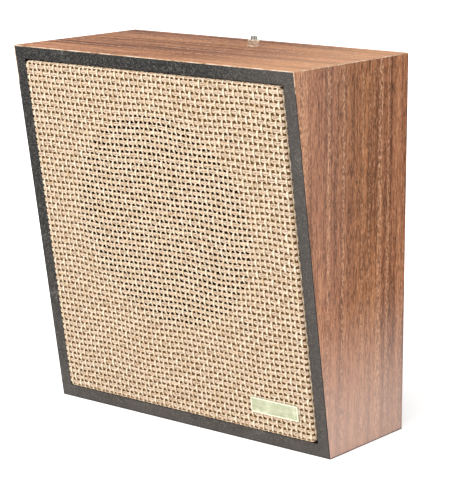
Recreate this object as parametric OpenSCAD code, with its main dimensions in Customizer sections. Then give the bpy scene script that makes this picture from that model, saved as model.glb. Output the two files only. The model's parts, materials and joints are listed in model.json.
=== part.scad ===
// Sloping-front wall speaker: a walnut-skinned box that is deeper at the top, a cloth-covered
// panel pressed into its front, an eight-inch driver bolted behind the panel, a line
// transformer, a volume control in the top board and a rail with two keyhole plates.
// Millimetres. +X is to the viewer's right, the front faces -Y and +Z is up. The origin is on
// the floor, under the middle of the whole width and depth.

/* [Cabinet] */
// Width of the cabinet
body_w = 254; // [245:0.5:290]
// Height of the cabinet
body_h = 274.6; // [262:0.2:310]
// Depth of the cabinet at its top edge
depth_top = 133.4; // [126:0.2:150]
// Depth of the cabinet at its bottom edge
depth_bottom = 88.9; // [82:0.1:100]
// Thickness of a cabinet wall with its walnut skin
wall_t = 9.5; // [8.5:0.1:12]
// Thickness of the walnut skin
skin_t = 0.7; // [0.4:0.1:1.2]
// Leg of the triangular glue block in a rear corner
corner_leg = 19; // [12:0.5:22]
// Length of a rear glue block
corner_len = 42; // [20:1:46]
// Distance from the back to a rear glue block
corner_inset = 22; // [18:0.5:26]

/* [Grille panel] */
// Thickness of the hardboard that carries the cloth and the driver
baffle_t = 6.4; // [5:0.1:9]
// Thickness of the woven cloth
cloth_t = 1.6; // [1:0.1:2.2]
// Gap between the cloth and the cabinet all round
panel_gap = 0.8; // [0.4:0.1:1.5]
// How far the cloth stands in front of the cabinet's front edges
panel_proud = 2.3; // [1:0.1:4]
// Radius of the panel's four corners
panel_corner_r = 4; // [3:0.1:5]
// Radius where the cloth rolls over the panel's front edge
panel_edge_r = 2; // [1.2:0.1:2.8]
// Width of the cloth that is turned behind the board
turn_w = 14; // [10:0.5:18]
// Side of the square block behind each corner of the board
block_side = 30; // [24:0.5:34]
// Depth of a block behind the board
block_depth = 15; // [12:0.5:20]
// Number of staples along each edge of the cloth
staples_per_edge = 5; // [3:1:7]
// Width of a staple
staple_w = 10; // [8:0.5:12]
// Thickness of staple wire
staple_wire = 0.7; // [0.5:0.1:1]
// Depth of a staple's legs
staple_leg = 4.6; // [3:0.1:5.5]

/* [Name plate] */
// Length of the bare name plate
plate_w = 41.5; // [36:0.5:44]
// Height of the bare name plate
plate_h = 11.6; // [9:0.2:14]
// Thickness of the name plate
plate_t = 0.9; // [0.6:0.1:1.4]
// Width of the name plate's raised rim
plate_rim = 0.9; // [0.6:0.1:1.4]
// Height of the rim above the plate's field
plate_rim_h = 0.3; // [0.2:0.05:0.5]
// Distance from the end of the name plate to the side of the panel
plate_inset = 11.95; // [10:0.05:19]
// Middle of the name plate above the bottom edge, along the slope
plate_up = 31; // [26:0.5:60]
// Radius of the plate's two pins
plate_pin_r = 0.8; // [0.6:0.1:1]
// Distance from the end of the plate to a pin
pin_inset = 6; // [4:0.5:8]

/* [Driver] */
// Radius of the hole in the board in front of the cone
hole_r = 79.6; // [76:0.2:80]
// Middle of the driver from the middle of the cabinet
driver_x = -2.5; // [-3:0.5:3]
// Distance from the top wall to the basket's flange, along the slope
flange_drop = 7.6; // [6.8:0.1:14]
// How far the basket's flange reaches past the hole
flange_reach = 23.6; // [22:0.1:24.2]
// Width of the basket's flat flange
flange_w = 16; // [15:0.5:17]
// Distance from the flange's edge to the middle of a bolt
bolt_inset = 5.7; // [5:0.1:6.4]
// Radius of a driver bolt
bolt_r = 2.1; // [1.8:0.1:2.4]
// Thickness of the basket's steel
steel_t = 1.2; // [0.8:0.1:1.6]
// Thickness of the cork gasket
gasket_t = 2.5; // [1.8:0.1:4]
// Depth from the board to the ledge that carries the spider
ledge_depth = 33; // [31:0.5:36]
// Outer radius of that ledge
ledge_out_r = 57.2; // [55:0.2:59]
// Width of that ledge
ledge_w = 7; // [6:0.5:8]
// Depth from the board to the front of the basket's base
base_depth = 47; // [46:0.5:50]
// Number of windows in the basket
windows = 8; // [6:1:10]
// Width of a basket window as an angle
window_deg = 29; // [20:1:31]
// Width of the surround that shows between the hole and the cone
surround_show = 5.1; // [4:0.1:7]
// Thickness of the cone's paper
paper_t = 0.8; // [0.6:0.1:1]
// Thickness of the surround and the spider
cloth_ring_t = 0.45; // [0.4:0.05:0.6]
// Radius of the dust cap
cap_r = 16; // [15:0.5:19]
// Height of the dust cap's dome
cap_h = 5; // [4:0.5:7]
// Radius of the pole
pole_r = 12.1; // [11:0.1:13]
// Running gap on each side of the voice coil
coil_gap = 0.4; // [0.3:0.05:0.6]
// Thickness of the voice coil's former
former_t = 0.4; // [0.3:0.05:0.5]
// Thickness of the voice coil's winding
winding_t = 0.5; // [0.4:0.05:0.7]
// Height of the voice coil's winding
winding_h = 9; // [7:0.5:11]
// Thickness of the top plate
top_plate_t = 5; // [4:0.5:7]
// Radius of the top plate
top_plate_r = 31; // [28:0.5:32]
// Thickness of the ring magnet
magnet_t = 10; // [8:0.5:14]
// Radius of the ring magnet
magnet_r = 35; // [33:0.5:38]
// Thickness of the yoke
yoke_t = 5; // [4:0.5:7]

/* [Volume control] */
// Middle of the volume control from the middle of the cabinet
volume_x = 17; // [6:1:40]
// Middle of the volume control from the back
volume_back = 34.5; // [31:0.5:40]
// Radius of the volume shaft
shaft_r = 2.4; // [2:0.1:2.6]
// Height of the shaft above the cabinet's top
shaft_up = 7.5; // [5.5:0.5:14]
// Radius of the threaded bushing
bushing_r = 3.2; // [3.1:0.05:3.6]
// Radius of the control's housing
volume_r = 12; // [10:0.5:14]
// Height of the control's housing
volume_h = 10; // [8:0.5:13]
// Wood left above the housing's pocket in the top board
pocket_web = 4; // [3:0.5:5]
// Width of the volume nut across its flats
nut_flats = 8; // [7.8:0.1:10]
// Height of the volume nut
nut_h = 2; // [1.6:0.1:2.6]

/* [Transformer] */
// Middle of the transformer from the middle of the cabinet
transformer_x = -56; // [-62:1:-50]
// Middle of the transformer from the back
transformer_back = 40; // [37:0.5:44]
// Width of the transformer's core
core_w = 42; // [40:0.5:44]
// Height of the transformer's core
core_h = 35; // [33:0.5:38]
// Thickness of the stack of laminations
core_stack = 15; // [12:0.5:17]
// Thickness of the strap that holds the core
strap_t = 1; // [0.8:0.1:1.4]
// Length of a foot of the strap
foot_len = 10; // [9:0.5:12]

/* [Input block] */
// Middle of the input block from the middle of the cabinet
input_x = 55; // [40:1:70]
// Middle of the input block from the back
input_back = 16; // [14:0.5:20]
// Distance between the two terminals
terminal_pitch = 11; // [10:0.5:13]
// Depth of the input block, front to back
input_d = 20; // [19:0.5:24]
// Height of the input block's base
input_h = 7; // [6:0.5:9]

/* [Hanger] */
// Height of the rail across the back
rail_h = 38; // [34:0.5:44]
// Thickness of the rail
rail_t = 11; // [9:0.5:13]
// Distance between the two keyholes
keyhole_pitch = 152; // [110:1:160]
// Width of a keyhole plate
keyplate_w = 50; // [46:0.5:56]
// Height of a keyhole plate
keyplate_h = 24; // [23:0.5:28]
// Thickness of a keyhole plate
keyplate_t = 1.5; // [1:0.1:2]
// Radius of the keyhole's entry for a screw's head
entry_r = 5; // [4.5:0.1:5.5]
// Half the width of the keyhole's slot
slot_r = 2.5; // [2.1:0.1:2.8]
// Rise from the entry to the end of the slot
slot_rise = 9; // [8:0.5:10]

/* [Wiring] */
// Radius of an insulated lead
lead_r = 0.8; // [0.6:0.1:0.9]
// Radius of a braided lead to the cone
tinsel_r = 0.5; // [0.4:0.05:0.6]

/* [Hidden] */
$fn = 96;

// Clearances
glue_gap = 0.05;
hole_gap = 0.1;
turn_gap = 0.05;
move_gap = 0.3;
over = 1;

// Lengths of the wood screws in what they hold
baffle_bite = 4;
strap_bite = 6.5;
input_bite = 6.5;

// The sloping front
tilt = atan((depth_top - depth_bottom) / body_h);
slope_len = body_h / cos(tilt);
inner_half = body_w / 2 - wall_t;

// Levels of the panel, measured out of the sloping front
cloth_front = panel_proud;
board_front = cloth_front - cloth_t;
board_back = board_front - baffle_t;
turn_back = board_back - cloth_t;
panel_half = inner_half - panel_gap;
panel_low = wall_t + panel_gap;
panel_high = body_h - wall_t - panel_gap;
board_half = panel_half - cloth_t;
board_low = panel_low + cloth_t;
board_high = panel_high - cloth_t;

// How far the rolled top edge of the cloth reaches in front of the cabinet's top edge
roll_s = along(panel_high, cloth_front - panel_edge_r) - panel_edge_r / cos(tilt);
roll_reach = depth_bottom + roll_s * sin(tilt)
    + (cloth_front - panel_edge_r) * cos(tilt) + panel_edge_r;
total_depth = max(depth_top, roll_reach);
back_y = total_depth / 2;

// The driver: radii, and levels measured out of the back of the board
flange_r = hole_r + flange_reach;
driver_s = slope_len - wall_t - flange_drop - flange_r;
bolt_circle_r = flange_r - bolt_inset;
cone_r = hole_r - surround_show;
flange_front = -gasket_t;
base_front = -base_depth;
top_plate_front = base_front - steel_t;
magnet_front = top_plate_front - top_plate_t;
yoke_front = magnet_front - magnet_t;
surround_rim_w = 6;
wall_top_r = flange_r - flange_w;
rim_r = wall_top_r + surround_rim_w;
ledge_in_r = ledge_out_r - ledge_w;
cup_step = 3;
cup_r = ledge_in_r - cup_step;
wall_low_z = -ledge_depth;
wall_shoulder = 5;
wall_high_z = flange_front - wall_shoulder;
former_in_r = pole_r + coil_gap;
former_out_r = former_in_r + former_t;
winding_out_r = former_out_r + winding_t;
plate_hole_r = winding_out_r + coil_gap;
spider_z = -ledge_depth + cloth_ring_t;
neck_rise = 2.4;
neck_z = spider_z + neck_rise;
edge_drop = 2.2;
edge_z = flange_front - edge_drop;
winding_mid_z = top_plate_front - top_plate_t / 2;
cap_seat_z = cone_z(cap_r);
bolt_head_h = 1.6;
bolt_head_r = 5;
driver_nut_flats = 8.7;
driver_nut_h = 3.2;
strip_w = 26;
strip_d = 9;
strip_t = 1.6;
strip_overlap = 2;
strip_y = magnet_r - strip_overlap;
lug_w = 3;
lug_t = 0.6;
lug_len = 18;
lug_pitch = 16;

// Levels of the volume control, measured up from the floor
pocket_top = body_h - pocket_web;
pocket_gap = 2;
pocket_r = volume_r + pocket_gap;
washer_t = 0.5;
bushing_proud = 2.6;
bushing_top = body_h + washer_t + nut_h + bushing_proud;
volume_low = pocket_top - volume_h;
volume_lug_rise = 1.6;
volume_lug_z = volume_low + volume_lug_rise;
volume_lug_len = 8;
volume_lug_pitch = 5.5;

// The transformer's core
leg_w = core_w / 3;
yoke_w = core_w / 6;
window_h = core_h - 2 * yoke_w;
bobbin_t = 1;
coil_reach = 7;
coil_d = core_stack + 2 * coil_reach;
strap_screw_x = core_w / 2 + strap_t + foot_len / 2;

// The input block
input_end = 11;
input_w = 2 * (terminal_pitch + input_end);
input_screw_in = 5.2;
bar_t = 0.8;
bar_w = 7;
bar_end_gap = 1;
terminal_row = 4.5;
terminal_hole_r = 1.6;
terminal_hole_d = 4;

// The rail
rail_low = body_h - wall_t - rail_h;
rail_mid_z = rail_low + rail_h / 2;
entry_z = rail_mid_z - slot_rise / 2;
key_screw_in = 6;
key_screw_x = keyplate_w / 2 - key_screw_in;

// Wood screws: length of the tip, then head radius, head height, shank radius and length
screw_tip = 2;
baffle_screw = [3.8, 2.4, 1.9, block_depth + cloth_t + baffle_bite];
strap_screw = [3.4, 2.2, 1.7, strap_t + strap_bite];
input_screw = [3, 2, 1.6, input_h + input_bite];
keyhole_screw = [3.4, 2, 1.6, rail_t - screw_tip];

// What the leads join, from the back plane
coil_spot = [transformer_x, -transformer_back, wall_t + core_h / 2];
core_foot = [transformer_x, -transformer_back, wall_t];
block_foot = [input_x, -input_back, wall_t];
bar_spot = [input_x, -input_back, wall_t + input_h];
pot_spot = [volume_x, -volume_back, volume_lug_z];
function lug_spot(side) = from_face([
    driver_x + side * lug_pitch / 2, driver_s + strip_y + lug_len,
    board_back + top_plate_front - strip_t
]);
// In from the left wall, share of the way up the slope, and behind the board
function by_wall(in, share, behind) =
    from_face([in - inner_half, share * slope_len, board_back - behind]);
// A route is a list of stretches, each a place and the points measured from it
function route(stretches) = [for (part = stretches, p = part[1]) part[0] + p];

// Two leads from the transformer to the input block
primary_routes = [
    route([
        [coil_spot, [[-4, 14.8, 0], [-4, 20, 0], [2, 25, -4]]],
        [core_foot, [[16, 28, 4.5], [36, 27, 1.1]]],
        [block_foot, [[-51, -3, 1.1], [-29, -12, 1.1], [-13, -17, 2.5]]],
        [bar_spot, [[-5.5, -15.5, 0.5], [-5.5, -11, 2.4], [-5.5, -8.4, 1.7]]]
    ]),
    route([
        [coil_spot, [[4, 14.8, 0], [4, 20, -1], [10, 23.5, -7]]],
        [core_foot, [[26, 24, 2.5], [44, 22.5, 1.1]]],
        [block_foot, [[-45, -8.5, 1.1], [-25, -18, 1.1], [-7, -23, 2]]],
        [bar_spot, [[5.5, -17, 0.5], [5.5, -11.5, 2.4], [5.5, -8.4, 1.7]]]
    ])
];
// Two leads from the transformer, up the left wall, to the volume control's lugs
secondary_routes = [
    route([
        [coil_spot, [[-4, -14.8, 0], [-4, -20, 0], [-12, -26, 5], [-30, -28, 21]]],
        [[0, 0, 0], [
            by_wall(18.5, 0.283, 33.3), by_wall(13.5, 0.463, 50.5),
            by_wall(14.5, 0.641, 69.7), by_wall(25.5, 0.786, 88.4)
        ]],
        [pot_spot, [
            [-83, 13.5, -12.2], [-51, 18.5, -6.2], [-25, 21, -4.2], [-13, 21.5, -3.2],
            [-7, 20.5, -1.9], [-5.5, 18.3, -0.9]
        ]]
    ]),
    route([
        [coil_spot, [[4, -14.8, 0], [3, -23, 1], [-8, -30, 6], [-28, -32, 23]]],
        [[0, 0, 0], [
            by_wall(21.5, 0.293, 29.7), by_wall(16.5, 0.472, 46.9),
            by_wall(17.5, 0.65, 66.1), by_wall(28.5, 0.782, 84.1)
        ]],
        [pot_spot, [
            [-81, 8.5, -16.2], [-51, 13.5, -10.7], [-23, 15.5, -8.7], [-9, 16, -7.7],
            [-2, 17.5, -5.2], [0, 18.2, -0.9]
        ]]
    ])
];
// Two leads from the volume control's lugs to the driver's lugs
driver_routes = [
    route([
        [pot_spot, [[5.5, 18.3, -0.9], [7.5, 20, -5.2], [8, 16.5, -14.2], [4, 4.5, -24.2]]],
        [lug_spot(1), [[8.5, 24.5, 15.9], [2.5, 13.5, 12.9], [0, 4.5, 8.9], [0, 1.5, 2.4], [0, 2.2, -2.9]]]
    ]),
    route([
        [pot_spot, [
            [0, 18.4, 1.7], [0, 20.3, 1.9], [0.2, 21.9, 0.1], [1, 21, -6.2],
            [-1, 16.5, -15.2], [-9, 5.5, -24.2]
        ]],
        [lug_spot(-1), [[8.5, 25.5, 15.9], [2.5, 13.5, 12.9], [0, 4.5, 8.9], [0, 1.5, 2.4], [0, 2.2, -2.9]]]
    ])
];
// Braided leads: x, up the slope and out of the board, from the middle of the driver
tinsel_route = [
    [8, 50, -49], [8, 55, -47], [9, 63, -42], [9, 68, -34], [9, 66, -25],
    [9, 58, -20], [9, 50, -19], [9, 45, -19]
];

// Geometry shared by the sub-parts

// Distance up the slope of the level z, at n out of the sloping front
function along(z, n) = (z + n * sin(tilt)) / cos(tilt);

// From the back plane, the place of a point of the sloping front: x, up the slope, out of it
function from_face(p) = [
    p[0], -depth_bottom - p[1] * sin(tilt) - p[2] * cos(tilt), p[1] * cos(tilt) - p[2] * sin(tilt)
];

// Front surface of the cone at radius r, steeper near the neck
function cone_z(r) = neck_z + (edge_z - neck_z)
    * pow((r - former_out_r) / (cone_r - former_out_r), 0.86);

// Outline of a thin sheet from the points of its upper side
function sheet(points, t) = concat(
    points, [for (i = [len(points) - 1 : -1 : 0]) points[i] - [0, t]]
);

function unit(v) = v / norm(v);
function edge_normal(p, i) = let (d = unit(p[i + 1] - p[i])) [-d[1], d[0]];
function joint_normal(p, i) =
    i == 0 ? edge_normal(p, 0)
    : i == len(p) - 1 ? edge_normal(p, len(p) - 2)
    : let (a = edge_normal(p, i - 1), b = edge_normal(p, i)) (a + b) / (1 + a * b);
// Outline of a bent sheet of even thickness on both sides of a line
function ribbon(p, t) = concat(
    [for (i = [0 : len(p) - 1]) p[i] + joint_normal(p, i) * t / 2],
    [for (i = [len(p) - 1 : -1 : 0]) p[i] - joint_normal(p, i) * t / 2]
);

// From the back plane of the cabinet
module in_cabinet() translate([0, back_y, 0]) children();

// On the sloping front: X, up the slope, out of the slope
module on_face()
    translate([0, back_y - depth_bottom, 0]) rotate([90 + tilt, 0, 0]) children();

// On the back of the board, at the middle of the driver
module on_driver() on_face() translate([driver_x, driver_s, board_back]) children();

// A profile drawn as (second axis, third axis), made w wide along the first axis
module across(w) rotate([90, 0, 90]) linear_extrude(w, center = true) children();

// A profile drawn as (x, z), carried through the whole depth
module through_depth()
    translate([0, over, 0]) rotate([90, 0, 0]) linear_extrude(depth_top + 2 * over) children();

// Everything between the back plane and the sloping front
module side_profile(w)
    across(w) polygon([
        [0, 0], [-depth_bottom, 0], [-depth_top, body_h], [0, body_h]
    ]);

// Wood screw with a countersunk or a round head, pointing down from z = 0
module wood_screw(size, gap = 0, countersunk = true) {
    head_r = size[0] + gap;
    shank_r = size[2] + gap;
    rise = countersunk ? 0 : size[1];
    difference() {
        union() {
            translate([0, 0, -size[1] + rise])
                cylinder(r1 = countersunk ? shank_r : head_r, r2 = head_r, h = size[1]);
            translate([0, 0, -size[3] + screw_tip]) cylinder(r = shank_r, h = size[3] - screw_tip);
            translate([0, 0, -size[3]]) cylinder(r1 = shank_r / 4, r2 = shank_r, h = screw_tip);
        }
        if (gap == 0)
            translate([0, 0, rise + 0.2])
                cube([2.4 * head_r, size[0] / 4, 2], center = true);
    }
}

// Tube swept along a smooth line through the points of a route
lead_sides = 8;
steps_per_span = 3;
function spline_at(p, i, u) = let (
    a = p[max(i - 1, 0)], b = p[i], c = p[i + 1], d = p[min(i + 2, len(p) - 1)]
) 0.5 * (2 * b + (c - a) * u + (2 * a - 5 * b + 4 * c - d) * u * u
    + (3 * b - a - 3 * c + d) * u * u * u);
function spline(p) = concat(
    [for (i = [0 : len(p) - 2], k = [0 : steps_per_span - 1]) spline_at(p, i, k / steps_per_span)],
    [p[len(p) - 1]]
);
function heading(p, i) = unit(p[min(i + 1, len(p) - 1)] - p[max(i - 1, 0)]);
function side_vectors(p, i, previous) =
    i == len(p) ? []
    : let (t = heading(p, i), s = unit(previous - t * (previous * t)))
        concat([s], side_vectors(p, i + 1, s));
module tube(route, r) {
    line = spline(route);
    sides = side_vectors(line, 0, [0.3, 0.5, 0.8]);
    rings = len(line);
    points = [
        for (i = [0 : rings - 1], k = [0 : lead_sides - 1])
            let (a = 360 * k / lead_sides, s = sides[i], q = cross(heading(line, i), s))
                line[i] + r * (cos(a) * s + sin(a) * q)
    ];
    walls = [
        for (i = [0 : rings - 2], k = [0 : lead_sides - 1])
            let (a = i * lead_sides + k, b = i * lead_sides + (k + 1) % lead_sides)
                each [[a, b + lead_sides, b], [a, a + lead_sides, b + lead_sides]]
    ];
    first = [for (k = [0 : lead_sides - 1]) k];
    last = [for (k = [lead_sides - 1 : -1 : 0]) (rings - 1) * lead_sides + k];
    polyhedron(points, concat(walls, [first, last]));
}

// Cabinet: four mitred boards and their walnut skins, of which the top and bottom ones cover the
// ends of the side ones

// Two of the four sides of a mitred frame between an outer and an inner outline
module frame_side(out_half, in_half, out_z, in_z)
    in_cabinet() intersection() {
        through_depth() polygon([
            [-out_half, out_z], [out_half, out_z], [in_half, in_z], [-in_half, in_z]
        ]);
        side_profile(body_w);
    }
module frame_end(side, out_x, in_x, out_gap, in_gap)
    in_cabinet() intersection() {
        through_depth() polygon([
            [side * out_x, out_gap], [side * out_x, body_h - out_gap],
            [side * in_x, body_h - in_gap], [side * in_x, in_gap]
        ]);
        side_profile(body_w);
    }

module volume_hole() in_cabinet() translate([volume_x, -volume_back, 0]) {
    translate([0, 0, body_h - wall_t - over])
        cylinder(r = bushing_r + hole_gap, h = wall_t + 2 * over);
    translate([0, 0, body_h - wall_t - over])
        cylinder(r = pocket_r, h = wall_t - pocket_web + over);
}

module top_board() color([0.2, 0.19, 0.18]) difference() {
    frame_side(body_w / 2 - skin_t, inner_half, body_h - skin_t, body_h - wall_t);
    volume_hole();
}
module bottom_board() color([0.2, 0.19, 0.18]) difference() {
    frame_side(body_w / 2 - skin_t, inner_half, skin_t, wall_t);
    strap_screws_at() wood_screw(strap_screw, turn_gap, false);
    input_screws_at() wood_screw(input_screw, turn_gap, false);
}
module left_board() color([0.2, 0.19, 0.18])
    frame_end(-1, body_w / 2 - skin_t, inner_half, skin_t, wall_t);
module right_board() color([0.2, 0.19, 0.18])
    frame_end(1, body_w / 2 - skin_t, inner_half, skin_t, wall_t);

module top_skin() color([0.66, 0.46, 0.34]) difference() {
    frame_side(body_w / 2, body_w / 2, body_h, body_h - skin_t);
    volume_hole();
}
module bottom_skin() color([0.5, 0.33, 0.25])
    frame_side(body_w / 2, body_w / 2, 0, skin_t);
module left_skin() color([0.52, 0.34, 0.26])
    frame_end(-1, body_w / 2, body_w / 2 - skin_t, skin_t, skin_t);
module right_skin() color([0.52, 0.34, 0.26])
    frame_end(1, body_w / 2, body_w / 2 - skin_t, skin_t, skin_t);

module corner_blocks() color([0.8, 0.66, 0.45])
    in_cabinet()
        for (side = [-1, 1], top = [0, 1])
            translate([0, -corner_inset, 0]) rotate([90, 0, 0]) linear_extrude(corner_len)
                let (
                    x = side * inner_half, z = top ? body_h - wall_t : wall_t,
                    dx = -side * corner_leg, dz = top ? -corner_leg : corner_leg
                ) polygon([[x, z], [x + dx, z], [x, z + dz]]);

// Grille panel: hardboard, cloth, staples, corner blocks and their screws

module board_shape() on_face() across(2 * board_half) polygon([
    [along(board_low, board_front), board_front], [along(board_high, board_front), board_front],
    [along(board_high, board_back), board_back], [along(board_low, board_back), board_back]
]);

module bolts_at() on_driver()
    for (k = [0 : 3]) rotate([0, 0, 45 + 90 * k]) translate([bolt_circle_r, 0, 0]) children();

plate_x = panel_half - plate_inset - plate_w / 2;
plate_pin_x = plate_w / 2 - pin_inset;
module plate_pins_at() on_face()
    for (side = [-1, 1]) translate([plate_x + side * plate_pin_x, plate_up, 0]) children();

module baffle_board() color([0.42, 0.29, 0.2]) difference() {
    board_shape();
    on_face() translate([driver_x, driver_s, board_back - over])
        cylinder(r = hole_r, h = baffle_t + 2 * over);
    bolts_at() driver_bolt(hole_gap);
    baffle_screws_at() wood_screw(baffle_screw, turn_gap);
    plate_pins_at() translate([0, 0, board_back - over])
        cylinder(r = plate_pin_r + hole_gap, h = baffle_t + 2 * over);
}

// A corner of the cloth, rolled over at the front
module cloth_corner() rotate_extrude($fn = 32) polygon(concat(
    [[0, 0], [panel_corner_r, 0]],
    [for (a = [18 : 18 : 90])
        [panel_corner_r - panel_edge_r + panel_edge_r * cos(a), panel_edge_r * sin(a)]],
    [[0, panel_edge_r]]
));
corner_x = panel_half - panel_corner_r;
roll_n = cloth_front - panel_edge_r;
back_slice = 0.01;
function corner_s(top, n) = top
    ? along(panel_high, n) - panel_corner_r : along(panel_low, n) + panel_corner_r;

module panel_envelope() on_face() hull()
    for (side = [-1, 1], top = [0, 1]) {
        translate([side * corner_x, corner_s(top, roll_n), roll_n]) cloth_corner();
        translate([side * corner_x, corner_s(top, turn_back), turn_back])
            cylinder(r = panel_corner_r, h = back_slice, $fn = 32);
    }

module grille_cloth() color([0.83, 0.66, 0.49]) difference() {
    panel_envelope();
    board_shape();
    // The back is open inside the turned edge, which is trimmed round the driver
    on_face() translate([-panel_half + turn_w, along(panel_low, turn_back) + turn_w, turn_back - over])
        cube([
            2 * (panel_half - turn_w),
            along(panel_high, turn_back) - along(panel_low, turn_back) - 2 * turn_w,
            cloth_t + over + back_slice
        ]);
    on_driver() translate([0, 0, -cloth_t - over])
        cylinder(r = flange_r + over, h = cloth_t + over + back_slice);
    baffle_screws_at() wood_screw(baffle_screw, turn_gap);
    plate_pins_at() translate([0, 0, board_front - over])
        cylinder(r = plate_pin_r + hole_gap, h = cloth_t + 2 * over);
}

// One staple lying on the turned cloth, its legs pointing out of the front
module staple() {
    translate([-staple_w / 2, -staple_wire / 2, -staple_wire])
        cube([staple_w, staple_wire, staple_wire]);
    for (side = [-1, 1])
        translate([side * (staple_w - staple_wire) / 2 - staple_wire / 2, -staple_wire / 2, 0])
            cube([staple_wire, staple_wire, staple_leg]);
}
staple_run = panel_half - block_side - staple_w;
staple_inset = turn_w / 2;
module staple_row() for (k = [0 : staples_per_edge - 1])
    translate([-staple_run + 2 * staple_run * k / (staples_per_edge - 1), 0, 0]) staple();
// The rows at the sides stand clear of the driver's flange
side_rows = [along(panel_low, turn_back) + block_side + staple_w, driver_s - flange_r / 2];
module cloth_staples() color([0.72, 0.72, 0.74]) on_face() {
    translate([0, along(panel_low, turn_back) + staple_inset, turn_back]) staple_row();
    for (side = [-1, 1], level = side_rows)
        translate([side * (panel_half - staple_inset), level, turn_back])
            rotate([0, 0, 90]) staple();
    for (side = [-1, 1])
        translate([
            side * (panel_half - block_side - staple_w),
            along(panel_high, turn_back) - staple_inset, turn_back
        ]) staple();
}

module baffle_blocks() color([0.8, 0.66, 0.45]) difference() {
    intersection() {
        on_face() for (side = [-1, 1], top = [0, 1])
            translate([
                side * (inner_half - block_side / 2),
                top ? along(body_h - wall_t, turn_back) - block_side / 2
                    : along(wall_t, turn_back) + block_side / 2,
                turn_back - block_depth / 2
            ]) cube([block_side + 2 * over, block_side + 2 * over, block_depth], center = true);
        in_cabinet() across(2 * inner_half) polygon([
            [0, wall_t], [-depth_top, wall_t], [-depth_top, body_h - wall_t], [0, body_h - wall_t]
        ]);
    }
    baffle_screws_at() wood_screw(baffle_screw, turn_gap);
}
block_screw = block_side / 2 - 1;
module baffle_screws_at() on_face()
    for (side = [-1, 1], top = [0, 1])
        translate([
            side * (inner_half - block_screw),
            top ? along(body_h - wall_t, turn_back) - block_screw
                : along(wall_t, turn_back) + block_screw,
            turn_back - block_depth
        ]) rotate([180, 0, 0]) children();
module baffle_screws() color([0.75, 0.7, 0.55]) baffle_screws_at() wood_screw(baffle_screw);

// Name plate, bare inside its raised rim, and the clips on its pins

clip_r = 2.6;
clip_t = 0.5;
pin_len = cloth_t + baffle_t + 2 * clip_t;
module rounded_plate(w, h, t, r) linear_extrude(t) union() {
    square([w - 2 * r, h], center = true);
    square([w, h - 2 * r], center = true);
    for (x = [-1, 1], y = [-1, 1])
        translate([x * (w / 2 - r), y * (h / 2 - r)]) circle(r = r);
}
module name_plate() color([0.75, 0.76, 0.56]) {
    difference() {
        on_face() translate([plate_x, plate_up, cloth_front])
            rounded_plate(plate_w, plate_h, plate_t, 1);
        on_face() translate([plate_x, plate_up, cloth_front + plate_t - plate_rim_h])
            rounded_plate(plate_w - 2 * plate_rim, plate_h - 2 * plate_rim, plate_t, 0.5);
    }
    plate_pins_at() translate([0, 0, cloth_front - pin_len]) cylinder(r = plate_pin_r, h = pin_len);
}
module plate_clips() color([0.45, 0.45, 0.47])
    plate_pins_at() translate([0, 0, board_back - clip_t]) difference() {
        cylinder(r = clip_r, h = clip_t);
        translate([0, 0, -over]) cylinder(r = plate_pin_r + glue_gap, h = clip_t + 2 * over);
    }

// Driver: bolts, gasket, basket, moving paper parts and motor

bolt_len = baffle_t + gasket_t + steel_t + driver_nut_h + 3;
module driver_bolt(gap = 0) {
    translate([0, 0, baffle_t - bolt_head_h]) cylinder(r = bolt_head_r + gap, h = bolt_head_h);
    translate([0, 0, baffle_t - bolt_len]) cylinder(r = bolt_r + gap, h = bolt_len - bolt_head_h);
}
module driver_bolts() color([0.7, 0.7, 0.72]) bolts_at() driver_bolt();
module driver_nuts() color([0.78, 0.74, 0.6])
    bolts_at() translate([0, 0, flange_front - steel_t - driver_nut_h]) difference() {
        cylinder(d = driver_nut_flats / cos(30), h = driver_nut_h, $fn = 6);
        translate([0, 0, -over]) cylinder(r = bolt_r + glue_gap, h = driver_nut_h + 2 * over);
    }

module gasket() color([0.25, 0.2, 0.16]) difference() {
    on_driver() rotate_extrude() polygon([
        [wall_top_r, 0], [flange_r, 0], [flange_r, flange_front],
        [rim_r + glue_gap, flange_front], [rim_r + glue_gap, flange_front + cloth_ring_t],
        [wall_top_r, flange_front + cloth_ring_t]
    ]);
    bolts_at() driver_bolt(hole_gap);
}

basket_line = let (f = flange_front - steel_t / 2, b = base_front - steel_t / 2) [
    [flange_r, f], [wall_top_r + 1.5, f], [wall_top_r, f - 1.2], [wall_top_r - 1, wall_high_z],
    [ledge_out_r, wall_low_z - steel_t / 2], [ledge_in_r, wall_low_z - steel_t / 2],
    [cup_r, wall_low_z - 4], [cup_r - 1, b + 3.5], [cup_r - 3, b + 1], [cup_r - 5, b],
    [plate_hole_r + 1.5, b]
];
// A window is a wedge that cuts only the slanting wall
window_out_r = wall_top_r - 6;
window_in_r = ledge_out_r + 4;
module window_cut() rotate([0, 0, -window_deg / 2]) rotate_extrude(angle = window_deg) polygon([
    [window_in_r, wall_low_z - 8], [window_out_r, wall_low_z - 8],
    [window_out_r, flange_front], [window_in_r, flange_front]
]);
// A small vent through the side of the cup
vent_r = 3;
module vent_cut() translate([cup_r - 4, 0, (wall_low_z + base_front) / 2 - 1.5])
    rotate([0, 90, 0]) cylinder(r = vent_r, h = 8);
module basket() color([0.6, 0.6, 0.6]) difference() {
    on_driver() rotate_extrude() polygon(ribbon(basket_line, steel_t));
    on_driver() for (k = [0 : windows - 1]) rotate([0, 0, 90 + 360 * k / windows]) window_cut();
    on_driver() for (k = [0 : windows - 1])
        rotate([0, 0, 90 + 360 * (k + 0.5) / windows]) vent_cut();
    bolts_at() driver_bolt(hole_gap);
}

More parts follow.
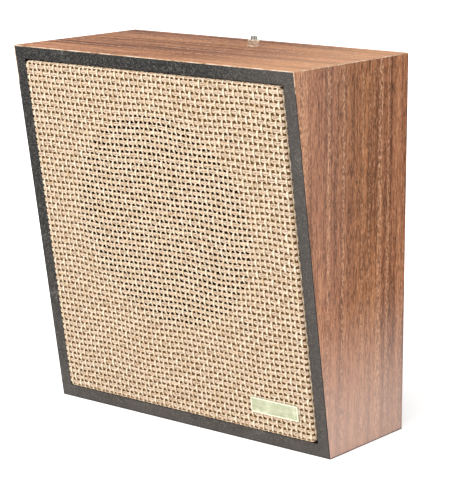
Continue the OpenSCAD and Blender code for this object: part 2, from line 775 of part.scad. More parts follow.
rolls = 2;
roll_h = 1;
roll_steps = 8;
surround_in = cone_r + move_gap;
surround_out = wall_top_r + 0.5;
surround_line = concat(
    [for (k = [0 : rolls * roll_steps - 1])
        let (u = k / (rolls * roll_steps))
            [surround_in + (surround_out - surround_in) * u,
             edge_z + (flange_front + cloth_ring_t - edge_z) * u + roll_h * sin(360 * rolls * u)]],
    [[surround_out, flange_front + cloth_ring_t], [rim_r, flange_front + cloth_ring_t]]
);
module surround() color([0.13, 0.12, 0.12])
    on_driver() rotate_extrude() polygon(sheet(surround_line, cloth_ring_t));

cone_steps = 12;
neck_r = former_out_r + glue_gap;
cone_line = [for (k = [0 : cone_steps])
    let (r = neck_r + (cone_r - neck_r) * k / cone_steps) [r, cone_z(r)]];
module cone() color([0.16, 0.15, 0.15])
    on_driver() rotate_extrude() polygon(sheet(cone_line, paper_t));

cap_steps = 8;
cap_line = [for (k = [0 : cap_steps])
    let (a = 90 * k / cap_steps) [cap_r * sin(a), cap_seat_z + glue_gap + paper_t / 2 + cap_h * cos(a)]];
module dust_cap() color([0.2, 0.19, 0.19])
    on_driver() rotate_extrude() polygon(sheet(cap_line, paper_t / 2));

former_low = winding_mid_z - winding_h / 2;
former_high = neck_z + 3;
module coil_former() color([0.75, 0.62, 0.42])
    on_driver() translate([0, 0, former_low]) difference() {
        cylinder(r = former_out_r, h = former_high - former_low);
        translate([0, 0, -over]) cylinder(r = former_in_r, h = former_high - former_low + 2 * over);
    }
module voice_coil() color([0.72, 0.42, 0.22])
    on_driver() translate([0, 0, former_low]) difference() {
        cylinder(r = winding_out_r, h = winding_h);
        translate([0, 0, -over]) cylinder(r = former_out_r + glue_gap / 2, h = winding_h + 2 * over);
    }

waves = 6;
wave_steps = 6;
wave_h = 1.2;
spider_neck_w = 4;
spider_rim_gap = 1;
wave_in = former_out_r + spider_neck_w;
wave_out = ledge_in_r - spider_rim_gap;
spider_line = concat(
    [[former_out_r + move_gap, spider_z]],
    [for (k = [0 : waves * wave_steps])
        let (u = k / (waves * wave_steps))
            [wave_in + (wave_out - wave_in) * u, spider_z + wave_h * sin(360 * waves * u)]],
    [[ledge_out_r - spider_rim_gap, spider_z]]
);
module spider() color([0.78, 0.62, 0.36])
    on_driver() rotate_extrude() polygon(sheet(spider_line, cloth_ring_t));

module top_plate() color([0.68, 0.69, 0.7])
    on_driver() translate([0, 0, magnet_front]) difference() {
        cylinder(r = top_plate_r, h = top_plate_t);
        translate([0, 0, -over]) cylinder(r = plate_hole_r, h = top_plate_t + 2 * over);
    }
module magnet() color([0.22, 0.22, 0.23])
    on_driver() rotate_extrude() polygon([
        [plate_hole_r + 3, yoke_front], [magnet_r - 0.8, yoke_front], [magnet_r, yoke_front + 0.8],
        [magnet_r, magnet_front - 0.8], [magnet_r - 0.8, magnet_front],
        [plate_hole_r + 3, magnet_front]
    ]);
module pole_yoke() color([0.68, 0.69, 0.7])
    on_driver() rotate_extrude() polygon([
        [0, yoke_front - yoke_t], [top_plate_r - 1.5, yoke_front - yoke_t],
        [top_plate_r, yoke_front - yoke_t + 1.5], [top_plate_r, yoke_front],
        [pole_r, yoke_front], [pole_r, top_plate_front - 0.6], [pole_r - 0.6, top_plate_front],
        [0, top_plate_front]
    ]);

module lug_strip() color([0.5, 0.34, 0.2])
    on_driver() translate([-strip_w / 2, strip_y, top_plate_front - strip_t])
        cube([strip_w, strip_d, strip_t]);
module driver_lugs() color([0.8, 0.68, 0.35])
    on_driver() for (side = [-1, 1])
        translate([side * lug_pitch / 2, strip_y + 1, top_plate_front - strip_t - lug_t])
            difference() {
                translate([-lug_w / 2, 0, 0]) cube([lug_w, lug_len, lug_t]);
                translate([0, lug_len - 2, -over]) cylinder(r = 0.7, h = lug_t + 2 * over);
            }
module tinsel_leads() color([0.75, 0.45, 0.3])
    on_driver() for (side = [-1, 1])
        tube([for (p = tinsel_route) [side * p[0], p[1], p[2]]], tinsel_r);

// Line transformer on the bottom board

module at_transformer()
    in_cabinet() translate([transformer_x, -transformer_back, wall_t]) children();

module transformer_core() color([0.35, 0.34, 0.34]) at_transformer() difference() {
    translate([-core_w / 2, -core_stack / 2, 0]) cube([core_w, core_stack, core_h]);
    for (side = [-1, 1])
        translate([side * leg_w * 0.75 - leg_w / 4, -core_stack / 2 - over, yoke_w])
            cube([leg_w / 2, core_stack + 2 * over, window_h]);
}
bobbin_lip = 0.5;
bobbin_half_x = leg_w - glue_gap;
bobbin_tube_x = leg_w / 2 + bobbin_t + glue_gap;
bobbin_tube_y = core_stack / 2 + bobbin_t + glue_gap;
module transformer_bobbin() color([0.85, 0.83, 0.75]) at_transformer() difference() {
    union() {
        for (z = [yoke_w + glue_gap, core_h - yoke_w - glue_gap - bobbin_t])
            translate([-bobbin_half_x, -coil_d / 2 - bobbin_lip, z])
                cube([2 * bobbin_half_x, coil_d + 2 * bobbin_lip, bobbin_t]);
        translate([-bobbin_tube_x, -bobbin_tube_y, yoke_w + glue_gap])
            cube([2 * bobbin_tube_x, 2 * bobbin_tube_y, window_h - 2 * glue_gap]);
    }
    translate([-leg_w / 2 - glue_gap, -core_stack / 2 - glue_gap, 0])
        cube([leg_w + 2 * glue_gap, core_stack + 2 * glue_gap, core_h]);
}
coil_low = yoke_w + 2 * glue_gap + bobbin_t;
coil_half_x = bobbin_half_x - bobbin_lip;
coil_round = 4;
module transformer_coil() color([0.86, 0.7, 0.35]) at_transformer()
    translate([0, 0, coil_low]) difference() {
        rounded_plate(2 * coil_half_x, coil_d, core_h - 2 * coil_low, coil_round);
        translate([-bobbin_tube_x - glue_gap, -bobbin_tube_y - glue_gap, -over])
            cube([2 * (bobbin_tube_x + glue_gap), 2 * (bobbin_tube_y + glue_gap), core_h]);
    }
module transformer_strap() color([0.7, 0.7, 0.72]) difference() {
    at_transformer() translate([0, core_stack / 2, 0]) rotate([90, 0, 0])
        linear_extrude(core_stack) difference() {
            union() {
                square([core_w + 2 * (strap_t + foot_len), 2 * strap_t], center = true);
                translate([-core_w / 2 - strap_t, 0]) square([core_w + 2 * strap_t, core_h + strap_t]);
            }
            translate([-core_w / 2, -over]) square([core_w, core_h + over]);
            translate([-core_w, -over - strap_t]) square([2 * core_w, over + strap_t]);
        }
    strap_screws_at() translate([0, 0, -over]) cylinder(r = strap_screw[2] + hole_gap, h = 3 * over);
}
module strap_screws_at() at_transformer()
    for (side = [-1, 1]) translate([side * strap_screw_x, 0, strap_t]) children();
module transformer_screws() color([0.75, 0.7, 0.55])
    strap_screws_at() wood_screw(strap_screw, 0, false);

// Volume control under the top board

module at_volume() in_cabinet() translate([volume_x, -volume_back, 0]) children();
shaft_low = volume_low + 2;

module volume_housing() color([0.6, 0.6, 0.62]) at_volume() difference() {
    translate([0, 0, volume_low]) cylinder(r = volume_r, h = volume_h);
    translate([0, 0, shaft_low - 0.2]) cylinder(r = shaft_r + turn_gap, h = volume_h);
}
module volume_lugs() color([0.8, 0.68, 0.35])
    at_volume() for (k = [-1 : 1])
        translate([k * volume_lug_pitch, 0, volume_lug_z]) difference() {
            translate([-1.2, 0, 0]) cube([2.4, volume_r + volume_lug_len, 0.8]);
            translate([0, 0, -over]) cylinder(r = volume_r + glue_gap, h = 3 * over);
            translate([0, volume_r + volume_lug_len - 1.6, -over]) cylinder(r = 0.7, h = 3 * over);
        }
module volume_bushing() color([0.76, 0.74, 0.68]) at_volume() difference() {
    translate([0, 0, pocket_top]) cylinder(r = bushing_r, h = bushing_top - pocket_top);
    translate([0, 0, pocket_top - over])
        cylinder(r = shaft_r + turn_gap, h = bushing_top - pocket_top + 2 * over);
}
module volume_washer() color([0.72, 0.72, 0.74]) at_volume() translate([0, 0, body_h]) difference() {
    cylinder(r = nut_flats / 2 + 0.6, h = washer_t);
    translate([0, 0, -over]) cylinder(r = bushing_r + hole_gap, h = washer_t + 2 * over);
}
module volume_nut() color([0.78, 0.76, 0.7])
    at_volume() translate([0, 0, body_h + washer_t]) difference() {
        cylinder(d = nut_flats / cos(30), h = nut_h, $fn = 6);
        translate([0, 0, -over]) cylinder(r = bushing_r + glue_gap, h = nut_h + 2 * over);
    }
// The shaft has a screwdriver slot across its end
shaft_slot_w = 1;
shaft_slot_d = 1.6;
module volume_shaft() color([0.85, 0.83, 0.78]) at_volume() difference() {
    rotate_extrude() polygon([
        [0, shaft_low], [shaft_r, shaft_low], [shaft_r, body_h + shaft_up - 0.4],
        [shaft_r - 0.4, body_h + shaft_up], [0, body_h + shaft_up]
    ]);
    translate([-2 * shaft_r, -shaft_slot_w / 2, body_h + shaft_up - shaft_slot_d])
        cube([4 * shaft_r, shaft_slot_w, 2 * shaft_slot_d]);
}

// Input block with two screw terminals, near the open back

module at_input() in_cabinet() translate([input_x, -input_back, wall_t]) children();
module bars_at() at_input()
    for (side = [-1, 1]) translate([side * terminal_pitch / 2, 0, input_h]) children();
rib_w = 1.8;
rib_h = 5;
module input_base() color([0.2, 0.13, 0.1]) difference() {
    at_input() {
        translate([-input_w / 2, -input_d / 2, 0]) cube([input_w, input_d, input_h]);
        for (k = [-1 : 1])
            translate([k * terminal_pitch - rib_w / 2, -input_d / 2, input_h])
                cube([rib_w, input_d, rib_h]);
    }
    bars_at() for (row = [-1, 1]) translate([0, row * terminal_row, -terminal_hole_d])
        cylinder(r = terminal_hole_r, h = terminal_hole_d + over);
    input_screws_at() wood_screw(input_screw, turn_gap, false);
}
module input_bars() color([0.8, 0.68, 0.35]) bars_at() difference() {
    translate([-bar_w / 2, -input_d / 2 + bar_end_gap, 0])
        cube([bar_w, input_d - 2 * bar_end_gap, bar_t]);
    for (row = [-1, 1]) translate([0, row * terminal_row, -over])
        cylinder(r = terminal_hole_r, h = bar_t + 2 * over);
}
terminal_head_r = 2.8;
terminal_head_h = 1.8;
terminal_slot = [0.8, 0.7];
module input_screws() color([0.75, 0.73, 0.68]) bars_at()
    for (row = [-1, 1]) translate([0, row * terminal_row, bar_t]) difference() {
        union() {
            cylinder(r = terminal_head_r, h = terminal_head_h);
            translate([0, 0, -terminal_hole_d])
                cylinder(r = terminal_hole_r - hole_gap, h = terminal_hole_d + over);
        }
        translate([0, 0, terminal_head_h])
            cube([3 * terminal_head_r, terminal_slot[0], 2 * terminal_slot[1]], center = true);
    }
module input_screws_at() at_input()
    for (side = [-1, 1])
        translate([side * (input_w / 2 - input_screw_in), 0, input_h]) children();
module input_base_screws() color([0.75, 0.7, 0.55])
    input_screws_at() wood_screw(input_screw, 0, false);

// Rail across the back with two keyhole plates let into it

module at_keyholes() in_cabinet() rotate([90, 0, 0])
    for (side = [-1, 1]) translate([side * keyhole_pitch / 2, 0, 0]) children();
module keyhole_shape(gap) {
    translate([0, entry_z]) circle(r = entry_r + gap);
    translate([-slot_r - gap, entry_z]) square([2 * (slot_r + gap), slot_rise]);
    translate([0, entry_z + slot_rise]) circle(r = slot_r + gap);
}
module key_screws_at() at_keyholes()
    for (side = [-1, 1]) translate([side * key_screw_x, rail_mid_z, 0]) rotate([180, 0, 0]) children();
module plate_outline(gap) translate([-keyplate_w / 2 - gap, rail_mid_z - keyplate_h / 2 - gap])
    square([keyplate_w + 2 * gap, keyplate_h + 2 * gap]);
// The pocket behind a keyhole takes the head of the screw in the wall
head_gap = 1.5;

module hanger_rail() color([0.8, 0.66, 0.45]) difference() {
    in_cabinet() translate([-inner_half, -rail_t, rail_low]) cube([2 * inner_half, rail_t, rail_h]);
    at_keyholes() translate([0, 0, -over]) linear_extrude(keyplate_t + over) plate_outline(hole_gap);
    at_keyholes() translate([0, 0, -over]) linear_extrude(rail_t + 2 * over)
        translate([-entry_r - head_gap, entry_z - entry_r - head_gap])
            square([2 * (entry_r + head_gap), slot_rise + 2 * entry_r + 1.5 * head_gap]);
    key_screws_at() wood_screw(keyhole_screw, turn_gap);
}
module keyhole_plates() color([0.7, 0.7, 0.72]) difference() {
    at_keyholes() linear_extrude(keyplate_t) plate_outline(0);
    at_keyholes() translate([0, 0, -over]) linear_extrude(keyplate_t + 2 * over) keyhole_shape(0);
    key_screws_at() wood_screw(keyhole_screw, turn_gap);
}
module keyhole_screws() color([0.75, 0.7, 0.55]) key_screws_at() wood_screw(keyhole_screw);

// Leads inside the cabinet

module primary_leads() color([0.15, 0.15, 0.16])
    in_cabinet() for (route = primary_routes) tube(route, lead_r);
module secondary_leads() color([0.3, 0.45, 0.75])
    in_cabinet() for (route = secondary_routes) tube(route, lead_r);
module driver_leads() color([0.75, 0.3, 0.25])
    in_cabinet() for (route = driver_routes) tube(route, lead_r);

top_board();
bottom_board();
left_board();
right_board();
top_skin();
bottom_skin();
left_skin();
right_skin();
corner_blocks();
baffle_board();
baffle_blocks();
baffle_screws();
grille_cloth();
cloth_staples();
name_plate();
plate_clips();
driver_bolts();
driver_nuts();
gasket();
basket();
surround();
cone();
dust_cap();
coil_former();
voice_coil();
spider();
top_plate();
magnet();
pole_yoke();
lug_strip();
driver_lugs();
tinsel_leads();
transformer_core();
transformer_bobbin();
transformer_coil();
transformer_strap();
transformer_screws();
volume_housing();
volume_lugs();
volume_bushing();
volume_washer();
volume_nut();
volume_shaft();
input_base();
input_bars();
input_screws();
input_base_screws();
hanger_rail();
keyhole_plates();
keyhole_screws();
primary_leads();
secondary_leads();
driver_leads();
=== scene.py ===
"""Wall speaker with a sloping front: the visual model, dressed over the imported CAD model.

Lengths are in millimetres, as in part.scad, until a mesh is made; make_mesh turns them to metres.
"""
import json
import math

import bpy
import numpy as np
from mathutils import Matrix, Vector

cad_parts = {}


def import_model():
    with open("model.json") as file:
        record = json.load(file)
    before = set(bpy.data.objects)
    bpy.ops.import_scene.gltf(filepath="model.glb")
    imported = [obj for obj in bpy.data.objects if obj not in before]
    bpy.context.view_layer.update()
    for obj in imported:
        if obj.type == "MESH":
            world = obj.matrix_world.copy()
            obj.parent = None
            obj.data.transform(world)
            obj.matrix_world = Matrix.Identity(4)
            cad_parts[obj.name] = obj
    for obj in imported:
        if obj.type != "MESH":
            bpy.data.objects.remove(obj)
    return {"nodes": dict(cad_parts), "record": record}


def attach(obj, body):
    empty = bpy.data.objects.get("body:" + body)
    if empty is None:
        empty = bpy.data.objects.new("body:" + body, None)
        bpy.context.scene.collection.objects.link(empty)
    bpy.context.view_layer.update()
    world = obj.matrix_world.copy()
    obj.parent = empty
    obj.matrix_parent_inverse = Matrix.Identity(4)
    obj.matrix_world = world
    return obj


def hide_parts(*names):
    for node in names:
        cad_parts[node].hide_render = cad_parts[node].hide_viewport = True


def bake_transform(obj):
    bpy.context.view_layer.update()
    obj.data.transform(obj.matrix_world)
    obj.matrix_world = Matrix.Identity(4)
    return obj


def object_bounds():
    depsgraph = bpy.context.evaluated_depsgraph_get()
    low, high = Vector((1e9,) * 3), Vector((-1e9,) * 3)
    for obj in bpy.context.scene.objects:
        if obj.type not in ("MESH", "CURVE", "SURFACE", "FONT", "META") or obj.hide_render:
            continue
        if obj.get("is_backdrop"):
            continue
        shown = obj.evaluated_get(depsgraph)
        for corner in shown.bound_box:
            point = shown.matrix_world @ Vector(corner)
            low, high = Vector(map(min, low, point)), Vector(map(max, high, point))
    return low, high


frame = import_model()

CAD_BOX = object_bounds()
CABINET, CONE = "cabinet", "cone"
MM = 0.001

# Sizes shared with part.scad
BODY_W, BODY_H = 254.0, 274.6
DEPTH_TOP, DEPTH_BOTTOM = 133.4, 88.9
CENTRE_SHIFT = 0.155
BACK_Y = DEPTH_TOP / 2 + CENTRE_SHIFT
FACE_Y = BACK_Y - DEPTH_BOTTOM
TILT = math.atan((DEPTH_TOP - DEPTH_BOTTOM) / BODY_H)
SIN_T, COS_T = math.sin(TILT), math.cos(TILT)
PANEL_HALF = 116.7
PANEL_LOW, PANEL_HIGH = 10.3, 264.3
PANEL_CORNER = 4.0
BOARD_FRONT, BOARD_BACK, CLOTH_T = 0.7, -5.7, 1.6
DRIVER_X, DRIVER_S = -2.5, 157.88
FLANGE_R = 103.2


def face_to_world(points):
    """Face coordinates (x, s up the slope, n out of the face) to the row frame, in millimetres."""
    x, s, n = np.asarray(points, float).T
    return np.stack([x, FACE_Y - s * SIN_T - n * COS_T, s * COS_T - n * SIN_T], axis=-1)


def face_turn(vectors):
    """Directions in face coordinates to the row frame."""
    return face_to_world(vectors) - [0, FACE_Y, 0]


def driver_to_world(points):
    """Driver coordinates, z out of the board from its back, to the row frame."""
    return face_to_world(np.asarray(points, float) + [DRIVER_X, DRIVER_S, BOARD_BACK])


# Meshes
SMOOTH_ANGLE = math.radians(32)


def in_scene(name, data):
    """A new object in the scene."""
    thing = bpy.data.objects.new(name, data)
    bpy.context.scene.collection.objects.link(thing)
    return thing


def make_mesh(name, points, faces, edges=False, strand=None):
    """A mesh object from points in millimetres and groups of faces with equally many corners. A closed mesh
    is turned outwards. With edges, sharp turns stay sharp; strand holds the points' pattern places."""
    points = np.asarray(points, float)
    groups = [np.asarray(group, np.int32) for group in faces]
    volume = 0
    for group in groups:
        for k in range(1, group.shape[1] - 1):
            a, b, c = points[group[:, 0]], points[group[:, k]], points[group[:, k + 1]]
            volume += (a * np.cross(b, c)).sum()
    if volume < 0:
        groups = [group[:, ::-1] for group in groups]
    corners = np.concatenate([group.ravel() for group in groups])
    counts = np.concatenate([np.full(len(group), group.shape[1]) for group in groups])
    mesh = bpy.data.meshes.new(name)
    mesh.vertices.add(len(points))
    mesh.vertices.foreach_set("co", (points * MM).astype(np.float32).ravel())
    mesh.loops.add(len(corners))
    mesh.loops.foreach_set("vertex_index", corners)
    mesh.polygons.add(len(counts))
    mesh.polygons.foreach_set("loop_start", (np.cumsum(counts) - counts).astype(np.int32))
    mesh.update(calc_edges=True)
    if strand is not None:
        field = mesh.attributes.new("strand", "FLOAT_VECTOR", "POINT")
        field.data.foreach_set("vector", strand.astype(np.float32).ravel())
    mesh.validate()
    mesh.shade_smooth()
    if edges:
        mesh.set_sharp_from_angle(angle=SMOOTH_ANGLE)
    return in_scene(name, mesh)


def ring_faces(count, around, capped=True):
    """The faces between rings of points: with two end caps, or the last ring joined to the first."""
    a = np.arange(around)
    b = (a + 1) % around
    low = np.arange(count - 1 if capped else count)[:, None] * around
    high = (low + around) % (count * around)
    quads = np.stack([low + a, low + b, high + b, high + a], -1).reshape(-1, 4)
    return [quads, np.stack([a[::-1], (count - 1) * around + a])] if capped else [quads]


def loft(name, rings, capped=True):
    """A closed mesh through rings of equally many points."""
    rings = np.asarray(rings, float)
    return make_mesh(name, rings.reshape(-1, 3), ring_faces(*rings.shape[:2], capped), edges=True)


def round_ring(radius, level, sides):
    """Points evenly round an axis."""
    turn = np.arange(sides) * 2 * math.pi / sides
    return np.stack([radius * np.cos(turn), radius * np.sin(turn), np.full(sides, level)], -1)


def turned_sheet(name, line, thickness, sides=144):
    """A sheet of even thickness under a line of (radius, height), turned about the driver's axis."""
    outline = np.concatenate([line, line[::-1] - [0, thickness]])
    return loft(name, [driver_to_world(round_ring(r, z, sides)) for r, z in outline], capped=False)


def unit(vectors):
    """The vectors made one long."""
    return vectors / np.linalg.norm(vectors, axis=-1, keepdims=True)


def lengths(line):
    """How far along the line each of its points lies."""
    return np.concatenate([[0], np.cumsum(np.linalg.norm(np.diff(line, axis=0), axis=1))])


def tubes(name, strands, sides):
    """A mesh of closed tubes. A strand is (centres, facings, half widths, half thicknesses); its pattern
    places are (length along it, cosine, sine) of the way round it."""
    turn = np.arange(sides) * 2 * math.pi / sides
    points, places, faces, start = [], [], [], 0
    for centres, facings, wide, thick in strands:
        along = unit(np.gradient(centres, axis=0))
        up = unit(facings - (facings * along).sum(1)[:, None] * along)
        side = np.cross(along, up)
        ring = (
            centres[:, None]
            + side[:, None] * (wide[:, None] * np.cos(turn))[..., None]
            + up[:, None] * (thick[:, None] * np.sin(turn))[..., None]
        )
        run = lengths(centres)[:, None] + start
        place = np.stack(np.broadcast_arrays(run, np.cos(turn), np.sin(turn)), axis=-1)
        points.append(ring.reshape(-1, 3))
        places.append(place.reshape(-1, 3))
        faces.append([start + group for group in ring_faces(len(centres), sides)])
        start += len(centres) * sides
    faces = [np.concatenate(group) for group in zip(*faces)]
    return make_mesh(name, np.concatenate(points), faces, strand=np.concatenate(places))


def dress(piece, slot, replaced, body=CABINET, finish=None):
    """Gives a piece the finish of its slot or another, its body, and hides the node that it stands for."""
    piece.data.materials.append(FINISHES[finish or slot])
    if body:
        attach(piece, body)
    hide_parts(replaced)


# Procedural materials: scales are in features a metre, tones are sRGB of 0 to 255
FINISHES = {}


def linear(tone):
    """An sRGB tone as the linear colour that a shader takes."""
    parts = [c / 255 for c in tone]
    return tuple(c / 12.92 if c <= 0.04045 else ((c + 0.055) / 1.055) ** 2.4 for c in parts) + (1.0,)


class Nodes:
    """A node tree of a material or the world, and short ways to add and join its nodes."""

    def __init__(self, owner):
        owner.use_nodes = True
        self.nodes = owner.node_tree.nodes
        self.links = owner.node_tree.links

    def put(self, socket, value):
        """Links an output to a socket, or sets the socket to a plain value."""
        if isinstance(value, bpy.types.NodeSocket):
            self.links.new(value, socket)
        else:
            socket.default_value = value

    def feed(self, node, **values):
        """Feeds a node's sockets by name; an underscore in a name stands for a space."""
        for key, value in values.items():
            self.put(node.inputs[key.replace("_", " ")], value)
        return node

    def add(self, kind, *values, **settings):
        """A node of a kind with its settings, and values or links for its first sockets."""
        node = self.nodes.new("ShaderNode" + kind)
        for key, value in settings.items():
            setattr(node, key, value)
        for socket, value in zip(node.inputs, values):
            self.put(socket, value)
        return node

    def maths(self, how, *values):
        return self.add("Math", *values, operation=how).outputs[0]


class Finish(Nodes):
    """A material: one Principled shader and the nodes that feed it, in the part's own frame."""

    def __init__(self, name, rough=0.5, metal=0.0):
        self.material = FINISHES[name] = bpy.data.materials.new(name)
        super().__init__(self.material)
        self.shader = self.nodes["Principled BSDF"]
        self.set(Roughness=rough, Metallic=metal)
        self.frame_place = self.add("TexCoord").outputs["Object"]

    def set(self, **values):
        self.feed(self.shader, **values)

    def place(self, stretch=(1, 1, 1), shift=(0, 0, 0), source=None):
        """The part's frame, or another source of places, scaled and shifted."""
        node = self.add("Mapping", source or self.frame_place)
        return self.feed(node, Scale=stretch, Location=shift).outputs["Vector"]

    def noise(self, scale, detail=2.0, rough=0.5, warp=0.0, **placing):
        node = self.add("TexNoise", self.place(**placing))
        return self.feed(node, Scale=scale, Detail=detail, Roughness=rough, Distortion=warp).outputs["Fac"]

    def cells(self, scale, out="Distance", **placing):
        return self.feed(self.add("TexVoronoi", self.place(**placing)), Scale=scale).outputs[out]

    def swayed(self, value, other, amount):
        """A value with an amount of another added."""
        return self.maths("ADD", value, self.maths("MULTIPLY", other, amount))

    def weighed(self, values, shares):
        """The sum of values, each times its share."""
        total = 0.0
        for value, share in zip(values, shares):
            total = self.swayed(total, value, share)
        return total

    def vector_maths(self, how, *values):
        return self.add("VectorMath", *values, operation=how).outputs["Value"]

    def spread(self, value, low, high, to_low=0.0, to_high=1.0):
        """A value between low and high drawn out smoothly to between to_low and to_high."""
        drawn = self.add("MapRange", value, low, high, to_low, to_high, interpolation_type="SMOOTHSTEP")
        return drawn.outputs[0]

    def mix(self, factor, first, second, how="MIX"):
        """Two colours mixed, each an output or a tone."""
        a, b = [linear(colour) if isinstance(colour, tuple) else colour for colour in (first, second)]
        node = self.add("Mix", data_type="RGBA", blend_type=how)
        return self.feed(node, Factor=factor, A=a, B=b).outputs["Result"]

    def ramp(self, value, stops, *tones):
        """The tones, each at its stop along the value."""
        node = self.add("ValToRGB", value)
        ends = node.color_ramp.elements
        for stop in stops[2:]:
            ends.new(stop)
        for end, stop, tone in zip(ends, stops, tones):
            end.position = stop
            end.color = linear(tone)
        return node.outputs["Color"]

    def parts(self, vector):
        return self.add("SeparateXYZ", vector).outputs

    def bump(self, height, distance):
        """Raises the surface by height times distance in millimetres, on top of earlier bumps."""
        node = self.feed(self.add("Bump"), Height=height, Distance=distance * MM)
        normal = self.shader.inputs["Normal"]
        if normal.is_linked:
            self.feed(node, Normal=normal.links[0].from_socket)
        self.put(normal, node.outputs[0])


def face_level(finish):
    """How far a point stands out of the sloping front, in metres."""
    across = finish.vector_maths("DOT_PRODUCT", finish.frame_place, (0.0, -COS_T, -SIN_T))
    return finish.maths("ADD", across, FACE_Y * COS_T * MM)


# Walnut laminate
WIDE, TALL = (1, 0, 0), (0, 0, 1)
HUE_SHARE, PORE_SHARE = 0.7, 0.6
LIT_GAIN, UNLIT_LEFT, PORE_LEFT = 20, 0.8, 0.7
# The first two tones are painted light: the painted reflection of the floor and a painted sheen.
FLOOR_REFLECTION_TONE, PAINTED_SHEEN_TONE, EDGE_PAINT = (224, 200, 190), (250, 192, 148), (60, 55, 52)
CUT_DEPTH, CUT_BLUR, END_DEPTH, END_BLUR = 0.00004, 0.00012, 0.00002, 0.00008
BARE_LOW, BARE_HIGH, BARE_RAGGED = 0.298, 0.312, 0.1
# Where the painted reflection of the floor sets in: towards the bottom, and more weakly towards the front.
REFLECTION_TOP, REFLECTION_BACK, REFLECTION_FRONT, FRONT_LESS = 0.125, 0.03, -0.04, 7


def drawn(wood, grain, draw, **texture):
    """A noise whose scale along the grain is only a share, draw, of that across it."""
    return wood.noise(stretch=tuple(draw if axis else 1.0 for axis in grain), **texture)


def ribbon_figure(wood, grain, base, pale, dark, seed):
    """Long pale columns, in which short curls of the grain shine or lie in the shade."""
    columns = drawn(wood, grain, scale=130, draw=0.006, shift=(seed, seed, 1), detail=1)
    curls = drawn(wood, grain, scale=820, draw=0.45, detail=1, warp=0.5)
    column = wood.spread(columns, 0.5, 0.62, 0.15, 0.7)
    lit = wood.maths("MULTIPLY", column, wood.spread(curls, 0.5, 0.6))
    unlit = wood.maths("MULTIPLY", column, wood.spread(curls, 0.48, 0.38, 0.0, 0.6))
    base = wood.mix(wood.spread(columns, 0.5, 0.6, 0.0, 0.3), base, pale)
    base = wood.mix(lit, base, tuple(c + LIT_GAIN for c in pale))
    return wood.mix(unlit, base, tuple(c * UNLIT_LEFT for c in dark))


def cut_edge(wood, x, z, edge_x):
    """Where a skin shows its cut edge, and its colour: painted, but bare and worn near the top."""
    cut = wood.spread(face_level(wood), -CUT_DEPTH - CUT_BLUR, -CUT_DEPTH)
    if edge_x:
        end = wood.spread(wood.maths("ABSOLUTE", x), edge_x - END_DEPTH - END_BLUR, edge_x - END_DEPTH)
        cut = wood.maths("MAXIMUM", cut, end)
    chipped = wood.noise(scale=130, detail=4, rough=0.7, shift=(1, 2, 3))
    worn = wood.ramp(chipped, (0.36, 0.5, 0.6), (172, 130, 102), (212, 180, 150), (230, 208, 186))
    bare = wood.spread(wood.swayed(z, chipped, BARE_RAGGED), BARE_LOW, BARE_HIGH)
    return cut, wood.mix(bare, EDGE_PAINT, worn)


def walnut(name, grain, pale, middle, dark, seed, shares, draw, edge_x=None, floor_reflection=0.0, glow=0.0):
    """Satin walnut laminate: bands, streaks, lines and pores along the grain, and ribbon figure. It may be
    painted paler towards the bottom and the front, a painted reflection of the floor, or paler and warmer
    towards the right, a painted sheen."""
    wood = Finish(name)
    bands = drawn(wood, grain, scale=42, draw=0.05, shift=(seed, 0, seed), detail=2, warp=0.5)
    streaks = drawn(wood, grain, scale=210, draw=0.04, shift=(0, seed, seed), detail=2, warp=0.4)
    lines = drawn(wood, grain, scale=780, draw=draw, detail=3, rough=0.7, warp=0.5)
    ground = wood.weighed((bands, streaks, lines), shares)
    base = wood.ramp(ground, (0.415, 0.49, 0.575), dark, middle, pale)
    hue = drawn(wood, grain, scale=18, draw=0.12, shift=(3, 5, seed), detail=1)
    warm = wood.ramp(hue, (0.4, 0.6), (250, 236, 234), (255, 244, 222))
    base = wood.mix(HUE_SHARE, base, warm, "MULTIPLY")
    curled = ribbon_figure(wood, grain, base, pale, dark, seed)
    pores = wood.spread(drawn(wood, grain, scale=1200, draw=0.16, detail=1), 0.58, 0.68)
    face = wood.mix(wood.maths("MULTIPLY", pores, PORE_SHARE), curled, tuple(c * PORE_LEFT for c in dark))
    x, y, z = wood.parts(wood.frame_place)
    # Painted reflection: paler wood towards the bottom and the front, standing in for the floor seen in the
    # satin laminate.
    if floor_reflection:
        low = wood.spread(z, REFLECTION_TOP, 0.0, 0.0, floor_reflection)
        front = wood.spread(y, REFLECTION_BACK, REFLECTION_FRONT, 0.0, floor_reflection / FRONT_LESS)
        face = wood.mix(wood.maths("MAXIMUM", low, front), face, FLOOR_REFLECTION_TONE)
    # Painted sheen: the wood is paler and warmer towards the right.
    if glow:
        face = wood.mix(wood.spread(x, 0.0, BODY_W / 2 * MM, 0.0, glow), face, PAINTED_SHEEN_TONE)
    cut, edge = cut_edge(wood, x, z, edge_x)
    wood.set(Base_Color=wood.mix(cut, face, edge), Specular_IOR_Level=0.03)
    wood.set(Roughness=wood.spread(lines, 0.3, 0.7, 0.44, 0.58))
    wood.bump(wood.maths("SUBTRACT", lines, pores), 0.04)


# Painted chipboard
PAINT_AND_SHADE_REACH, PAINT_BLUR, PAINT_RAGGED = 0.0076, 0.0012, 0.004
LOW_PALING, LOW_RAGGED = (0.25, 0.06, 0.0, 0.36), 0.2
RIGHT_PALING, RIGHT_RAGGED = (0.04, 0.145, 0.0, 0.26), 0.02
PALER_PAINT, BARE_CHIP, CHIP_SHARE, MARK_SHARE = (122, 114, 108), (214, 208, 200), 0.25, 0.8


